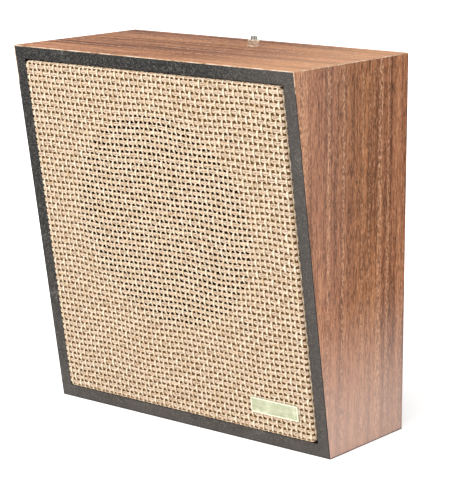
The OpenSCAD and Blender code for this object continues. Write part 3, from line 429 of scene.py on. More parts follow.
def black_paint(board, speckle):
    """Speckled black paint, paler towards the bottom and right, with nicks and a few scratches."""
    x, _, z = board.parts(board.frame_place)
    patch = board.noise(scale=60, detail=3)
    low = board.spread(board.swayed(z, patch, LOW_RAGGED), *LOW_PALING)
    right = board.spread(board.swayed(x, patch, RIGHT_RAGGED), *RIGHT_PALING)
    black = board.ramp(speckle, (0.4, 0.51, 0.62), (8, 7, 6), (26, 25, 23), (88, 85, 80))
    black = board.mix(board.maths("MAXIMUM", low, right), black, PALER_PAINT)
    nicks = board.spread(board.cells(scale=75, stretch=(1, 1, 0.6), shift=(0.3, 0.1, 0.2)), 0.045, 0.02)
    level = board.noise(scale=240, detail=2, warp=2.5, shift=(4, 1, 2))
    line = board.spread(board.maths("ABSOLUTE", board.maths("SUBTRACT", level, 0.5)), 0.006, 0.002)
    where = board.spread(board.noise(scale=45, detail=1, shift=(6, 1, 2)), 0.66, 0.7)
    marks = board.maths("MAXIMUM", nicks, board.maths("MULTIPLY", line, where))
    return board.mix(board.maths("MULTIPLY", marks, MARK_SHARE), black, BARE_CHIP)


def chipboard(name):
    """Bare chipboard whose front edge and a little of the inside carry black paint. Inside the opening that
    paint is overspray and also painted shade, darkening the gap round the panel.
    """
    board = Finish(name)
    grain = board.noise(scale=900, detail=4, rough=0.7)
    bare = board.ramp(grain, (0.3, 0.5, 0.7), (136, 100, 66), (186, 150, 108), (214, 184, 142))
    bare = board.mix(CHIP_SHARE, bare, board.cells(scale=520, out="Color"), "SOFT_LIGHT")
    speckle = board.noise(scale=800, detail=3, rough=0.8)
    ragged = board.noise(scale=260, detail=3)
    # The paint's reach inside the opening is overspray and also painted shade for the gap round the panel.
    reach = board.swayed(face_level(board), ragged, PAINT_RAGGED)
    painted = board.spread(reach, -PAINT_AND_SHADE_REACH - PAINT_BLUR, -PAINT_AND_SHADE_REACH)
    board.set(Base_Color=board.mix(painted, bare, black_paint(board, speckle)), Specular_IOR_Level=0.3)
    board.set(Roughness=board.spread(speckle, 0.3, 0.7, 0.5, 0.7))
    board.bump(speckle, 0.16)
    board.bump(grain, 0.06)


# The other materials
PLATED_SCALE, PLATED_RELIEF = 220, 0.02
RIM_LEVEL, RIM_BLUR, RIM_TONE = 0.00312, 0.00016, (244, 243, 224)
PLATE_PITCH, PLATE_GAP_TONE = 0.5, (16, 15, 14)
TAPE_PITCH, TAPE_SLANT, TAPE_EDGE_TONE = 7.0, 0.06, (96, 66, 26)
# Tone of the painted shade on a yarn's flanks and underside.
PAINTED_UNDERSIDE_SHADE = (226, 192, 146)


def fibre(name, dark, middle, pale, scale, rough, relief, grain=(1, 1, 1), shine=0.25):
    """Matt fibrous stuff: hardboard, felted paper, cork or card."""
    stuff = Finish(name, rough=rough)
    coarse = stuff.noise(scale, detail=5, rough=0.7, warp=0.6, stretch=grain)
    stuff.set(Base_Color=stuff.ramp(coarse, (0.32, 0.5, 0.7), dark, middle, pale), Specular_IOR_Level=shine)
    stuff.bump(coarse, relief)


def plated(name, colour, worn, rough, metal=1.0):
    """Metal with cloudy colour and gloss and a fine grain."""
    stuff = Finish(name, metal=metal)
    cloud = stuff.noise(PLATED_SCALE, detail=5, rough=0.6, warp=0.4)
    stuff.set(Base_Color=stuff.ramp(cloud, (0.35, 0.6), worn, colour))
    stuff.set(Roughness=stuff.spread(cloud, 0.3, 0.7, rough * 1.3, rough * 0.8))
    stuff.bump(stuff.noise(PLATED_SCALE * 8, detail=2), PLATED_RELIEF)


def moulded(name, colour, shade, rough=0.45, scale=500, relief=0.02):
    """Plastic, enamel or varnish: nearly even, with slight mottling and an uneven skin."""
    stuff = Finish(name)
    cloud = stuff.noise(scale, detail=3, rough=0.6)
    stuff.set(Base_Color=stuff.ramp(cloud, (0.35, 0.62), shade, colour))
    stuff.set(Roughness=stuff.spread(cloud, 0.3, 0.7, rough * 0.85, rough * 1.15))
    stuff.bump(cloud, relief)


def plate_metal(name):
    """Bare satin metal, brushed along its length, paler on the rolled rim than on the sunk face."""
    metal = Finish(name, metal=0.3)
    brushed = metal.noise(scale=1500, detail=3, rough=0.6, stretch=(0.06, 1, 1))
    cloud = metal.noise(scale=160, detail=4)
    tone = metal.weighed((brushed, cloud), (0.45, 0.55))
    sunk = metal.ramp(tone, (0.38, 0.52, 0.64), (176, 182, 150), (200, 204, 172), (220, 221, 194))
    rim = metal.spread(face_level(metal), RIM_LEVEL - RIM_BLUR, RIM_LEVEL)
    metal.set(Base_Color=metal.mix(rim, sunk, RIM_TONE))
    metal.set(Roughness=metal.spread(tone, 0.35, 0.65, 0.62, 0.46))
    metal.bump(brushed, 0.02)
    metal.bump(cloud, 0.06)


def laminated(name, colour, shade):
    """A stack of thin varnished plates, one behind the other from front to back."""
    stack = Finish(name, rough=0.42, metal=0.5)
    y = stack.parts(stack.frame_place)[1]
    phase = stack.maths("MULTIPLY", y, math.pi / (PLATE_PITCH * MM))
    ridge = stack.maths("ABSOLUTE", stack.maths("SINE", phase))
    plate = stack.noise(scale=1900, detail=1, stretch=(0.001, 1, 0.001))
    mottle = stack.noise(scale=300, detail=4)
    skin = stack.ramp(stack.weighed((plate, mottle), (0.6, 0.4)), (0.35, 0.65), shade, colour)
    stack.set(Base_Color=stack.mix(stack.spread(ridge, 0.35, 0.1), skin, PLATE_GAP_TONE))
    stack.bump(stack.spread(ridge, 0.0, 0.5), 0.12)
    stack.bump(plate, 0.15)


def taped(name, colour, shade):
    """Varnished tape wound over itself, each turn stepping over the last."""
    tape = Finish(name, rough=0.3)
    x, _, z = tape.parts(tape.frame_place)
    turns = tape.maths("FRACT", tape.maths("DIVIDE", tape.swayed(z, x, TAPE_SLANT), TAPE_PITCH * MM))
    stain = tape.noise(scale=180, detail=4)
    worn = tape.ramp(stain, (0.35, 0.62), shade, colour)
    tape.set(Base_Color=tape.mix(tape.spread(turns, 0.1, 0.0, 0.0, 0.6), worn, TAPE_EDGE_TONE))
    tape.bump(turns, 0.12)
    tape.bump(stain, 0.05)


def yarn(name, pale, middle, dark, twist, relief):
    """Yarn: a twisted ply along the strand with painted shade in its grooves, slubs and fuzz, and painted
    shade darkening its flanks and underside.
    """
    stuff = Finish(name, rough=0.85)
    strand = stuff.add("Attribute", attribute_name="strand").outputs["Vector"]
    run, cosine, sine = stuff.parts(strand)
    ply = stuff.maths("SINE", stuff.swayed(stuff.maths("ARCTAN2", sine, cosine), run, twist))
    slub = stuff.noise(scale=1.0, detail=3, stretch=(0.12, 1, 1), source=strand)
    fuzz = stuff.noise(scale=1.0, detail=3, stretch=(6, 2, 2), source=strand)
    colour = stuff.ramp(stuff.weighed((slub, fuzz), (0.75, 0.25)), (0.34, 0.5, 0.64), dark, middle, pale)
    # Painted shade in the grooves of the twist, darkening them towards the dark tone.
    ply_shaded = stuff.mix(stuff.spread(ply, -1.0, -0.2, 0.35, 0.0), colour, dark, "MULTIPLY")
    # Painted shade: the flanks and underside are darkened and warmed, standing in for the shade on them.
    under = stuff.spread(sine, -0.6, 0.55, 1.0, 0.0)
    stuff.set(Base_Color=stuff.mix(under, ply_shaded, PAINTED_UNDERSIDE_SHADE, "MULTIPLY"), Specular_IOR_Level=0.08)
    stuff.bump(ply, relief)
    stuff.bump(fuzz, relief)


# The finishes, named after the slot that they dress where there is one
# The top and bottom skins carry a painted sheen towards the right.
walnut(
    "walnut_top", WIDE, (196, 142, 107), (145, 94, 64), (74, 41, 25), seed=2.0, shares=(0.28, 0.36, 0.36),
    draw=0.05, edge_x=BODY_W / 2 * MM, glow=0.36,
)
# The side skins carry the painted reflection of the floor.
walnut(
    "walnut_side", TALL, (191, 141, 106), (158, 108, 79), (100, 65, 47), seed=0.0, shares=(0.34, 0.24, 0.42),
    draw=0.13, floor_reflection=0.47,
)
chipboard("painted_chipboard")
fibre("pine", (176, 132, 82), (214, 176, 122), (232, 202, 156), 90, 0.7, 0.05, grain=(0.08, 1, 1))
fibre("hardboard", (88, 62, 36), (120, 90, 54), (150, 118, 76), 1400, 0.85, 0.06)
plated("zinc", (188, 190, 194), (164, 165, 168), 0.36)
plated("browned_steel", (96, 72, 46), (70, 52, 34), 0.6, metal=0.4)
plated("shaft_steel", (156, 154, 150), (112, 110, 106), 0.32)
plated("nickel", (232, 218, 200), (178, 158, 134), 0.2, metal=0.85)
plated("tinned_brass", (222, 204, 152), (176, 154, 104), 0.3)
moulded("basket_steel", (118, 120, 122), (104, 106, 108), 0.38, scale=160)
laminated("core_steel", (84, 78, 74), (44, 40, 38))
fibre("ferrite", (44, 44, 46), (58, 58, 60), (74, 74, 78), 1800, 0.7, 0.03)
fibre("cork", (58, 44, 34), (82, 64, 50), (106, 86, 68), 900, 0.95, 0.25)
fibre("cone_paper", (42, 25, 11), (54, 35, 17), (74, 53, 31), 1500, 0.92, 0.12, shine=0.0)
fibre("surround_cloth", (36, 24, 12), (45, 31, 17), (63, 47, 29), 1300, 0.75, 0.08, shine=0.03)
fibre("spider_cloth", (150, 104, 42), (182, 132, 62), (206, 160, 92), 1500, 0.7, 0.08)
fibre("former_card", (140, 102, 60), (166, 126, 80), (190, 152, 104), 900, 0.85, 0.03)
plated("copper", (204, 128, 82), (160, 88, 50), 0.32)
moulded("phenolic", (76, 50, 36), (56, 36, 26), 0.4, scale=700, relief=0.03)
moulded("bobbin_nylon", (226, 221, 204), (210, 203, 184))
taped("coil_tape", (208, 168, 82), (184, 142, 62))
moulded("lead_black", (42, 42, 44), (30, 30, 32))
moulded("lead_blue", (56, 92, 160), (42, 74, 138))
moulded("lead_red", (172, 52, 44), (146, 38, 34))
plate_metal("plate_metal")
yarn("upright_yarn", (249, 239, 219), (237, 220, 193), (204, 172, 130), twist=2.4, relief=0.06)
yarn("cross_yarn", (250, 238, 219), (237, 215, 189), (193, 157, 119), twist=3.4, relief=0.05)

# The CAD model's own nodes
OWN_FINISHES = {
    "top_skin": "walnut_top", "bottom_skin": "walnut_top",
    "left_skin": "walnut_side", "right_skin": "walnut_side",
    "driver_bolts": "browned_steel", "volume_shaft": "shaft_steel",
}
BEVELS = {
    "corner_blocks": 0.5, "baffle_blocks": 0.5, "hanger_rail": 0.5, "keyhole_plates": 0.2,
    "transformer_strap": 0.25, "transformer_coil": 0.6, "transformer_bobbin": 0.2, "input_base": 0.25,
    "input_bars": 0.15, "volume_housing": 0.5, "lug_strip": 0.15, "volume_washer": 0.12, "volume_shaft": 0.1,
}
WELD_GAP = 0.005


def dress_nodes():
    """Every carried-over node gets its finish, joined points, eased edges and smooth curves."""
    for part in frame["record"]["subparts"]:
        name = part["node"]
        node = frame["nodes"][name]
        material = FINISHES.get(OWN_FINISHES.get(name, part["material_slot"]))
        if material:
            node.data.materials.clear()
            node.data.materials.append(material)
        node.data.shade_smooth()
        node.modifiers.new("weld", "WELD").merge_threshold = WELD_GAP * MM
        if name in BEVELS:
            bevel = node.modifiers.new("bevel", "BEVEL")
            bevel.width = BEVELS[name] * MM
            bevel.segments = 2
            bevel.limit_method = "ANGLE"
            bevel.angle_limit = SMOOTH_ANGLE
            bevel.harden_normals = True
        else:
            node.modifiers.new("split", "EDGE_SPLIT").split_angle = SMOOTH_ANGLE


# The cloth on its panel
FRONT_BEND, BACK_BEND = 1.2, 0.8
CLOTH_SIDE = CLOTH_T / 2
MIDDLE_LEVEL = BOARD_FRONT + CLOTH_SIDE
BEND_LEVEL = MIDDLE_LEVEL - FRONT_BEND
SIDE_DROP = BEND_LEVEL - BOARD_BACK
TURN_W = 14.0
HALF_RISE = (PANEL_HIGH - PANEL_LOW) / COS_T / 2
MIDDLE_S = ((PANEL_HIGH + PANEL_LOW) / 2 + BEND_LEVEL * SIN_T) / COS_T
FLANGE_GAP = 1.6
PATH_STEP, TINY = 0.02, 1e-9

CORNER_FLAT = PANEL_CORNER - CLOTH_SIDE - FRONT_BEND
BENDS = np.cumsum([0, CORNER_FLAT, FRONT_BEND * math.pi / 2, SIDE_DROP, BACK_BEND * math.pi / 2])
SIDE_START, TURN_START = BENDS[2], BENDS[-1]
PATH = np.arange(0, TURN_START, PATH_STEP)
PATH_LEAN = np.interp(PATH, BENDS, [0, 0, math.pi / 2, math.pi / 2, math.pi])
PATH_OUT = np.cumsum(np.cos(PATH_LEAN)) * PATH_STEP
PATH_LEVEL = MIDDLE_LEVEL - np.cumsum(np.sin(PATH_LEAN)) * PATH_STEP
CORNER_X = PANEL_HALF - PANEL_CORNER
CORNER_S = HALF_RISE - PANEL_CORNER
FLAT_W = 2 * (CORNER_X + TURN_START + TURN_W - CLOTH_T)
FLAT_H = 2 * (CORNER_S + TURN_START + TURN_W - CLOTH_T)

# Its yarns
UPRIGHT_PITCH, CROSS_PITCH = 4.2, 4.45
UPRIGHT_WIDE, UPRIGHT_THICK = 0.95, 0.35
UPRIGHT_MID, UPRIGHT_TAPER, UPRIGHT_CROWN = 0.9, 0.32, 0.2
CROSS_YARNS, CROSS_SPACE, CROSS_PINCH = 3, 0.85, 0.26
CROSS_WIDE, CROSS_THICK = 0.41, 0.34
UPRIGHT_SWING, CROSS_SWING, SWING_SNAP = 0.45, 0.34, 1.5
UPRIGHT_RINGS, CROSS_RINGS = (-0.3, 0.0, 0.3, 0.5), (-0.28, 0.28, 0.5)
YARN_SIDES, LEAST_RINGS = 6, 3
COUNT_U, COUNT_V = int(FLAT_W / UPRIGHT_PITCH / 2) * 2 - 1, int(FLAT_H / CROSS_PITCH)
HALF_U, HALF_V = COUNT_U // 2, COUNT_V // 2
BANDS = ("cloth_rows_low", "cloth_rows_middle", "cloth_rows_high")

# How they stray from a perfect weave
WEAVE_SEED = 41
DRIFT_WAVES, FINE_WAVES, WIDTH_WAVES = (7, 110, 45), (14, 22, 7), (12, 30, 8)
DRIFT_U, DRIFT_V, FINE_U, FINE_V = 0.45, 0.75, 0.2, 0.14
CALM_EDGE, EDGE_PULL = 30.0, 0.5
SWELL, SWELL_U, SWELL_V = 0.12, 3, 5
UPRIGHT_STRAY, ROW_STRAY, YARN_STRAY, LEVEL_STRAY = 0.08, 0.06, 0.05, 0.03


def wrap(u, v):
    """Where a point of the flat cloth lies on the panel and how it faces, in face coordinates."""
    past_u, past_v = np.abs(u) - CORNER_X, np.abs(v) - CORNER_S
    by_u = past_u >= past_v
    most, least = np.maximum(past_u, past_v), np.minimum(past_u, past_v)
    held = np.clip(most, None, TURN_START)
    excess = most - held
    out = np.where(held > 0, np.interp(held, PATH, PATH_OUT), held)
    level = np.interp(held, PATH, PATH_LEVEL)
    lean = np.interp(held, PATH, PATH_LEAN)
    in_corner = least > 0
    reach = np.hypot(held, least) + TINY
    main = np.where(in_corner, held / reach, 1.0)
    cross = np.where(in_corner, least / reach, 0.0)
    main_out = main * out - excess
    cross_out = np.where(in_corner, cross * out, least)
    x = np.sign(u) * (CORNER_X + np.where(by_u, main_out, cross_out))
    s = np.sign(v) * (CORNER_S + np.where(by_u, cross_out, main_out))
    s = MIDDLE_S + s + SIN_T / COS_T * (np.minimum(level, BEND_LEVEL) - BEND_LEVEL)
    facing_u = np.sign(u) * np.where(by_u, main, cross) * np.sin(lean)
    facing_v = np.sign(v) * np.where(by_u, cross, main) * np.sin(lean)
    return np.stack([x, s, level], -1), np.stack([facing_u, facing_v, np.cos(lean)], -1)


def in_cloth(u, v, place, along_u):
    """Where a yarn has cloth to lie in: flaps meet at a mitre, and the driver's flange is clear."""
    past_u, past_v = np.abs(u) - CORNER_X, np.abs(v) - CORNER_S
    mine, other = (past_u, past_v) if along_u else (past_v, past_u)
    behind = PANEL_CORNER - CLOTH_T - (other - TURN_START)
    mitre = np.where(other > TURN_START, behind, PANEL_CORNER - CLOTH_SIDE)
    uncut = (other <= SIDE_START) | (mine < np.minimum(mitre, other))
    off_flange = np.hypot(place[:, 0] - DRIVER_X, place[:, 1] - DRIVER_S) > FLANGE_R + FLANGE_GAP
    return uncut & (off_flange | (place[:, 2] > BOARD_BACK))


def kept_runs(keep):
    """The stretches of a yarn where keep holds, as slices of enough rings for a tube."""
    edges = np.flatnonzero(np.diff(np.concatenate([[0], keep.astype(int), [0]])))
    return [slice(a, b) for a, b in zip(edges[::2], edges[1::2]) if b - a >= LEAST_RINGS]


def swing(phase, size):
    """A yarn's way over and under, flatter at its crests than a sine."""
    return size * np.tanh(SWING_SNAP * np.cos(phase)) / math.tanh(SWING_SNAP)


def ring_places(half_count, pattern, pitch):
    """The places of a yarn's rings, in a pattern that repeats at each crossing."""
    return (np.arange(-half_count, half_count + 1)[:, None] + np.array(pattern)).ravel() * pitch


class Waves:
    """A smooth random field: a sum of a few plane waves."""

    def __init__(self, random, count, longest, shortest):
        wave_lengths = random.uniform(shortest, longest, count)
        turns = random.uniform(0, math.pi, count)
        self.waves = np.stack([np.cos(turns), np.sin(turns)], -1) * (2 * math.pi / wave_lengths)[:, None]
        self.starts = random.uniform(0, 2 * math.pi, count)

    def at(self, u, v):
        phase = np.multiply.outer(u, self.waves[:, 0]) + np.multiply.outer(v, self.waves[:, 1])
        return np.sin(phase + self.starts).sum(-1) / math.sqrt(len(self.starts))


class Weave:
    """Flat upright yarns over and under rows of three finer yarns, wrapped over the panel."""

    def __init__(self):
        self.random = np.random.default_rng(WEAVE_SEED)
        self.drift_u, self.drift_v = [Waves(self.random, *DRIFT_WAVES) for _ in "uv"]
        self.fine_u, self.fine_v = [Waves(self.random, *FINE_WAVES) for _ in "uv"]
        self.widths = Waves(self.random, *WIDTH_WAVES)

    def strayed(self, p, q):
        """A yarn's place p, q on a perfect weave, moved to where the real one lies."""
        calm_u, calm_v = (PANEL_HALF - np.abs(p)) / CALM_EDGE, (HALF_RISE - np.abs(q)) / CALM_EDGE
        calm = np.clip(calm_u, 0, 1) * np.clip(calm_v, 0, 1)
        u = p + DRIFT_U * calm * self.drift_u.at(p, q) + FINE_U * self.fine_u.at(p, q)
        v = q + DRIFT_V * calm * self.drift_v.at(p, q) + FINE_V * self.fine_v.at(p, q)
        pulled = np.clip((np.abs(q) - CORNER_S - CORNER_FLAT) / CORNER_FLAT, 0, 1)
        return u, v - EDGE_PULL * np.sign(q) * pulled

    def strand(self, p, q, height, wide, thick, along_u):
        """The kept stretches of one yarn, laid on the panel."""
        u, v = self.strayed(p, q)
        place, facing = wrap(u, v)
        centres = face_to_world(place + facing * height[:, None])
        facings = face_turn(facing)
        widths = wide * (1 + SWELL * self.widths.at(u + SWELL_U * p[0], v + SWELL_V * q[0]))
        for run in kept_runs(in_cloth(u, v, place, along_u)):
            yield centres[run], facings[run], widths[run], np.full(run.stop - run.start, thick)

    def uprights(self):
        """The flat yarns that run up the cloth."""
        q = ring_places(HALF_V, UPRIGHT_RINGS, CROSS_PITCH)
        strands = []
        for i in range(COUNT_U):
            p = np.full(len(q), (i - HALF_U) * UPRIGHT_PITCH + self.random.normal(0, UPRIGHT_STRAY))
            height = swing(math.pi * (q / CROSS_PITCH + i), UPRIGHT_SWING)
            lift = height / UPRIGHT_SWING
            wide = UPRIGHT_WIDE * (UPRIGHT_MID + UPRIGHT_TAPER * lift - UPRIGHT_CROWN * lift**2)
            strands += self.strand(p, q, height, wide, UPRIGHT_THICK, along_u=False)
        return strands

    def rows(self):
        """The rows of finer yarns, in bands from the bottom up."""
        p = ring_places(HALF_U, CROSS_RINGS, UPRIGHT_PITCH)
        bands = [[] for _ in BANDS]
        for j in range(-HALF_V, HALF_V + 1):
            band = bands[min(int((j + COUNT_V / 2) / COUNT_V * len(BANDS)), len(BANDS) - 1)]
            middle = j * CROSS_PITCH + self.random.normal(0, ROW_STRAY)
            lift = -swing(math.pi * (p / UPRIGHT_PITCH + HALF_U + j), CROSS_SWING)
            for k in range(CROSS_YARNS):
                height = lift + self.random.normal(0, LEVEL_STRAY)
                side = (k - 1) * CROSS_SPACE * (1 + CROSS_PINCH * lift / CROSS_SWING)
                q = middle + side + self.random.normal(0, YARN_STRAY)
                band += self.strand(p, q, height, CROSS_WIDE, CROSS_THICK, along_u=True)
        return bands


def grille_cloth():
    """The uprights, and the bands of rows; each band is a sheet of its own."""
    weave = Weave()
    uprights = tubes("cloth_uprights", weave.uprights(), YARN_SIDES)
    dress(uprights, "grille_cloth", "grille_cloth", finish="upright_yarn")
    for name, band in zip(BANDS, weave.rows()):
        piece = tubes(name, band, YARN_SIDES)
        dress(piece, "grille_cloth", "grille_cloth", finish="cross_yarn")


# The driver's paper and cloth, with the CAD model's radii and levels
FORMER_R, NECK_R, CONE_R = 12.9, 12.95, 74.5
NECK_Z, EDGE_Z, CONE_POWER = -30.15, -4.7, 0.86
RIBS, RIB_W, RIB_H = (37.0, 49.0, 61.0), 1.1, 0.4
PAPER_T, SOFT_T = 0.8, 0.45
ROLL_IN, ROLL_OUT, RIM_OUT, RIM_Z = 74.8, 87.7, 93.2, -2.05
ROLLS, ROLL_H = 2, 1.0
LAP_R, LAP_GAP = 71.5, 0.05
SPIDER_Z, SPIDER_IN, SPIDER_OUT = -32.55, 13.2, 56.2
WAVE_IN, WAVE_OUT, WAVES_ACROSS, WAVE_H = 16.9, 49.2, 6, 1.2
CONE_STEPS, LAP_STEPS, ROLL_STEPS, ROLL_SIDES, WAVE_STEPS = 81, 5, 65, 192, 97


def cone_level(radius):
    """Level of the cone's front at a radius, steeper near the neck."""
    return NECK_Z + (EDGE_Z - NECK_Z) * ((radius - FORMER_R) / (CONE_R - FORMER_R)) ** CONE_POWER


def bend_between(piece, still_r, moving_r):
    """Finds the driver's axis and two radii in the row frame, and bakes the piece's place into its points
    and reads them; no bend is set up.
    """
    middle, tip = driver_to_world([[0, 0, 0], [0, 0, 1]])
    still, moving = driver_to_world([[still_r, 0, 0], [moving_r, 0, 0]])
    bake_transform(piece)
    places = np.empty(len(piece.data.vertices) * 3, np.float32)
    piece.data.vertices.foreach_get("co", places)


def cone():
    """The felted paper cone, with its pressed ribs."""
    radius = np.linspace(NECK_R, CONE_R, CONE_STEPS)
    ribs = sum(np.exp(-(((radius - rib) / RIB_W) ** 2)) for rib in RIBS)
    line = np.stack([radius, cone_level(radius) + RIB_H * ribs], -1)
    dress(turned_sheet("cone_shell", line, PAPER_T), "cone_paper", "cone", body=CONE)


def surround():
    """The two-roll cloth surround, lapped over the cone's edge and glued to the basket's rim."""
    share = np.linspace(0, 1, ROLL_STEPS)
    lap_r = np.linspace(LAP_R, CONE_R, LAP_STEPS)
    lap = np.stack([lap_r, cone_level(lap_r) + SOFT_T + LAP_GAP], -1)
    rolls_z = EDGE_Z + (RIM_Z - EDGE_Z) * share + ROLL_H * np.sin(2 * math.pi * ROLLS * share)
    rolls = np.stack([ROLL_IN + (ROLL_OUT - ROLL_IN) * share, rolls_z], -1)
    line = np.concatenate([lap, rolls, [[RIM_OUT, RIM_Z]]])
    piece = turned_sheet("surround_rolls", line, SOFT_T, ROLL_SIDES)
    dress(piece, "surround_cloth", "surround", body=None)
    bend_between(piece, still_r=ROLL_OUT, moving_r=ROLL_IN)


def spider():
    """The corrugated cloth disc that centres the coil."""
    share = np.linspace(0, 1, WAVE_STEPS)
    waves_z = SPIDER_Z + WAVE_H * np.sin(2 * math.pi * WAVES_ACROSS * share)
    waves = np.stack([WAVE_IN + (WAVE_OUT - WAVE_IN) * share, waves_z], -1)
    line = np.concatenate([[[SPIDER_IN, SPIDER_Z]], waves, [[SPIDER_OUT, SPIDER_Z]]])
    piece = turned_sheet("spider_waves", line, SOFT_T)
    dress(piece, "spider_cloth", "spider", body=None)
    bend_between(piece, still_r=WAVE_OUT, moving_r=WAVE_IN)


# Wires
ASIDE = (0.3, 0.5, 0.8)
END_LIFT = 0.1
LEAD_R, LEAD_SIDES = 0.8, 14
BARE_LEN, BARE_WIRES, BARE_R, BARE_PITCH, BARE_STEP, BARE_SIDES = 3.2, 3, 0.27, 2.2, 0.25, 8
DAB_R, DAB_ARC, DAB_RINGS, DAB_LONG = 1.05, 1.5, 11, 1.2
TINSEL_ROUTE = [
    (8, 50, -49), (8, 55, -47), (9, 63, -42), (9, 68, -34), (9, 66, -25), (9, 58, -20), (9, 50, -19),
    (9, 45, -19),
]
TINSEL_WIRES, TINSEL_R, TINSEL_PITCH, TINSEL_STEP, TINSEL_SIDES = 3, 0.25, 2.4, 0.3, 6
TINSEL_LOW, TINSEL_HIGH = (0, 55, -44), (0, 55, -20)
GLUE_R, GLUE_SIDES = 4 * TINSEL_R, 12
SLOPE_LEN, INNER_HALF = 278.18, 117.5
COIL_SPOT = (-56, BACK_Y - 40, 27)
CORE_FOOT = (-56, BACK_Y - 40, 9.5)
BLOCK_FOOT = (55, BACK_Y - 16, 9.5)
BAR_SPOT = (55, BACK_Y - 16, 16.5)
POT_SPOT = (17, BACK_Y - 34.5, 262.2)
LUG_SPOTS = ((5.5, BACK_Y - 67.529, 215.071), (-10.5, BACK_Y - 67.529, 215.071))


def near(spot, *steps):
    """Points given from an anchor."""
    return [np.add(spot, step) for step in steps]


def by_wall(*places):
    """Points by the left wall: how far inside it, share of the slope, how far behind the board."""
    inside, share, behind = np.array(places).T
    return list(face_to_world(np.stack([inside - INNER_HALF, share * SLOPE_LEN, BOARD_BACK - behind], -1)))


def spline(points, step=1.0):
    """Points about every step along a smooth line through the given ones."""
    ends = np.concatenate([points[:1], points, points[-1:]])
    spans = []
    for a, b, c, d in zip(ends, ends[1:], ends[2:], ends[3:]):
        u = np.arange(0, 1, step / np.linalg.norm(c - b))[:, None]
        square, cube = 2 * a - 5 * b + 4 * c - d, 3 * b - a - 3 * c + d
        spans.append(2 * b + (c - a) * u + square * u**2 + cube * u**3)
    return np.concatenate([np.concatenate(spans) / 2, points[-1:]])


def carried(line):
    """The heading at each point of a line, and a direction across it that doesn't twist."""
    headings = unit(np.gradient(line, axis=0))
    facing = np.cross(headings[0], ASIDE)
    facings = []
    for heading in headings:
        facing = unit(facing - heading * (facing @ heading))
        facings.append(facing)
    return headings, np.array(facings)


def round_strand(line, radius):
    """A strand of even radius with slightly rounded ends."""
    run = lengths(line)
    end = np.minimum(run, run[-1] - run)
    widths = radius * np.sqrt(1 - np.clip(1 - (end + END_LIFT) / (radius / 2), 0, 1) ** 2)
    return line, carried(line)[1], widths, widths


def twisted(line, wires, radius, pitch):
    """Wires twisted about a line."""
    headings, facings = carried(line)
    sides = np.cross(headings, facings)
    run = lengths(line)
    for k in range(wires):
        turn = (2 * math.pi * (run / pitch + k / wires))[:, None]
        centres = line + radius * (np.cos(turn) * facings + np.sin(turn) * sides)
        yield round_strand(centres, radius)


def dab(centre, heading, radius):
    """A drop of solder or glue."""
    arc = np.linspace(-DAB_ARC, DAB_ARC, DAB_RINGS)
    widths = radius * np.cos(arc)
    centres = centre + np.outer(np.sin(arc), heading) * radius * DAB_LONG
    return centres, carried(centres)[1], widths, widths


def leads(node, slot, routes, bare_start=False, soldered=True):
    """Insulated leads along their routes, with bare twisted ends, soldered or held by a screw."""
    sleeves, ends = [], []
    for route in routes:
        line = spline(np.array(route, float))
        run = lengths(line)
        start = np.searchsorted(run, BARE_LEN) if bare_start else 0
        stop = np.searchsorted(run, run[-1] - BARE_LEN)
        sleeves.append(round_strand(line[start:stop], LEAD_R))
        for tip in [line[stop - 2:]] + ([line[:start + 2][::-1]] if bare_start else []):
            fine = spline(tip, BARE_STEP)
            ends += twisted(fine, BARE_WIRES, BARE_R, BARE_PITCH)
            if soldered:
                ends.append(dab(fine[-3], carried(fine)[0][-1], DAB_R))
    dress(tubes(node + "_sleeves", sleeves, LEAD_SIDES), slot, node)
    dress(tubes(node + "_ends", ends, BARE_SIDES), "zinc", node)


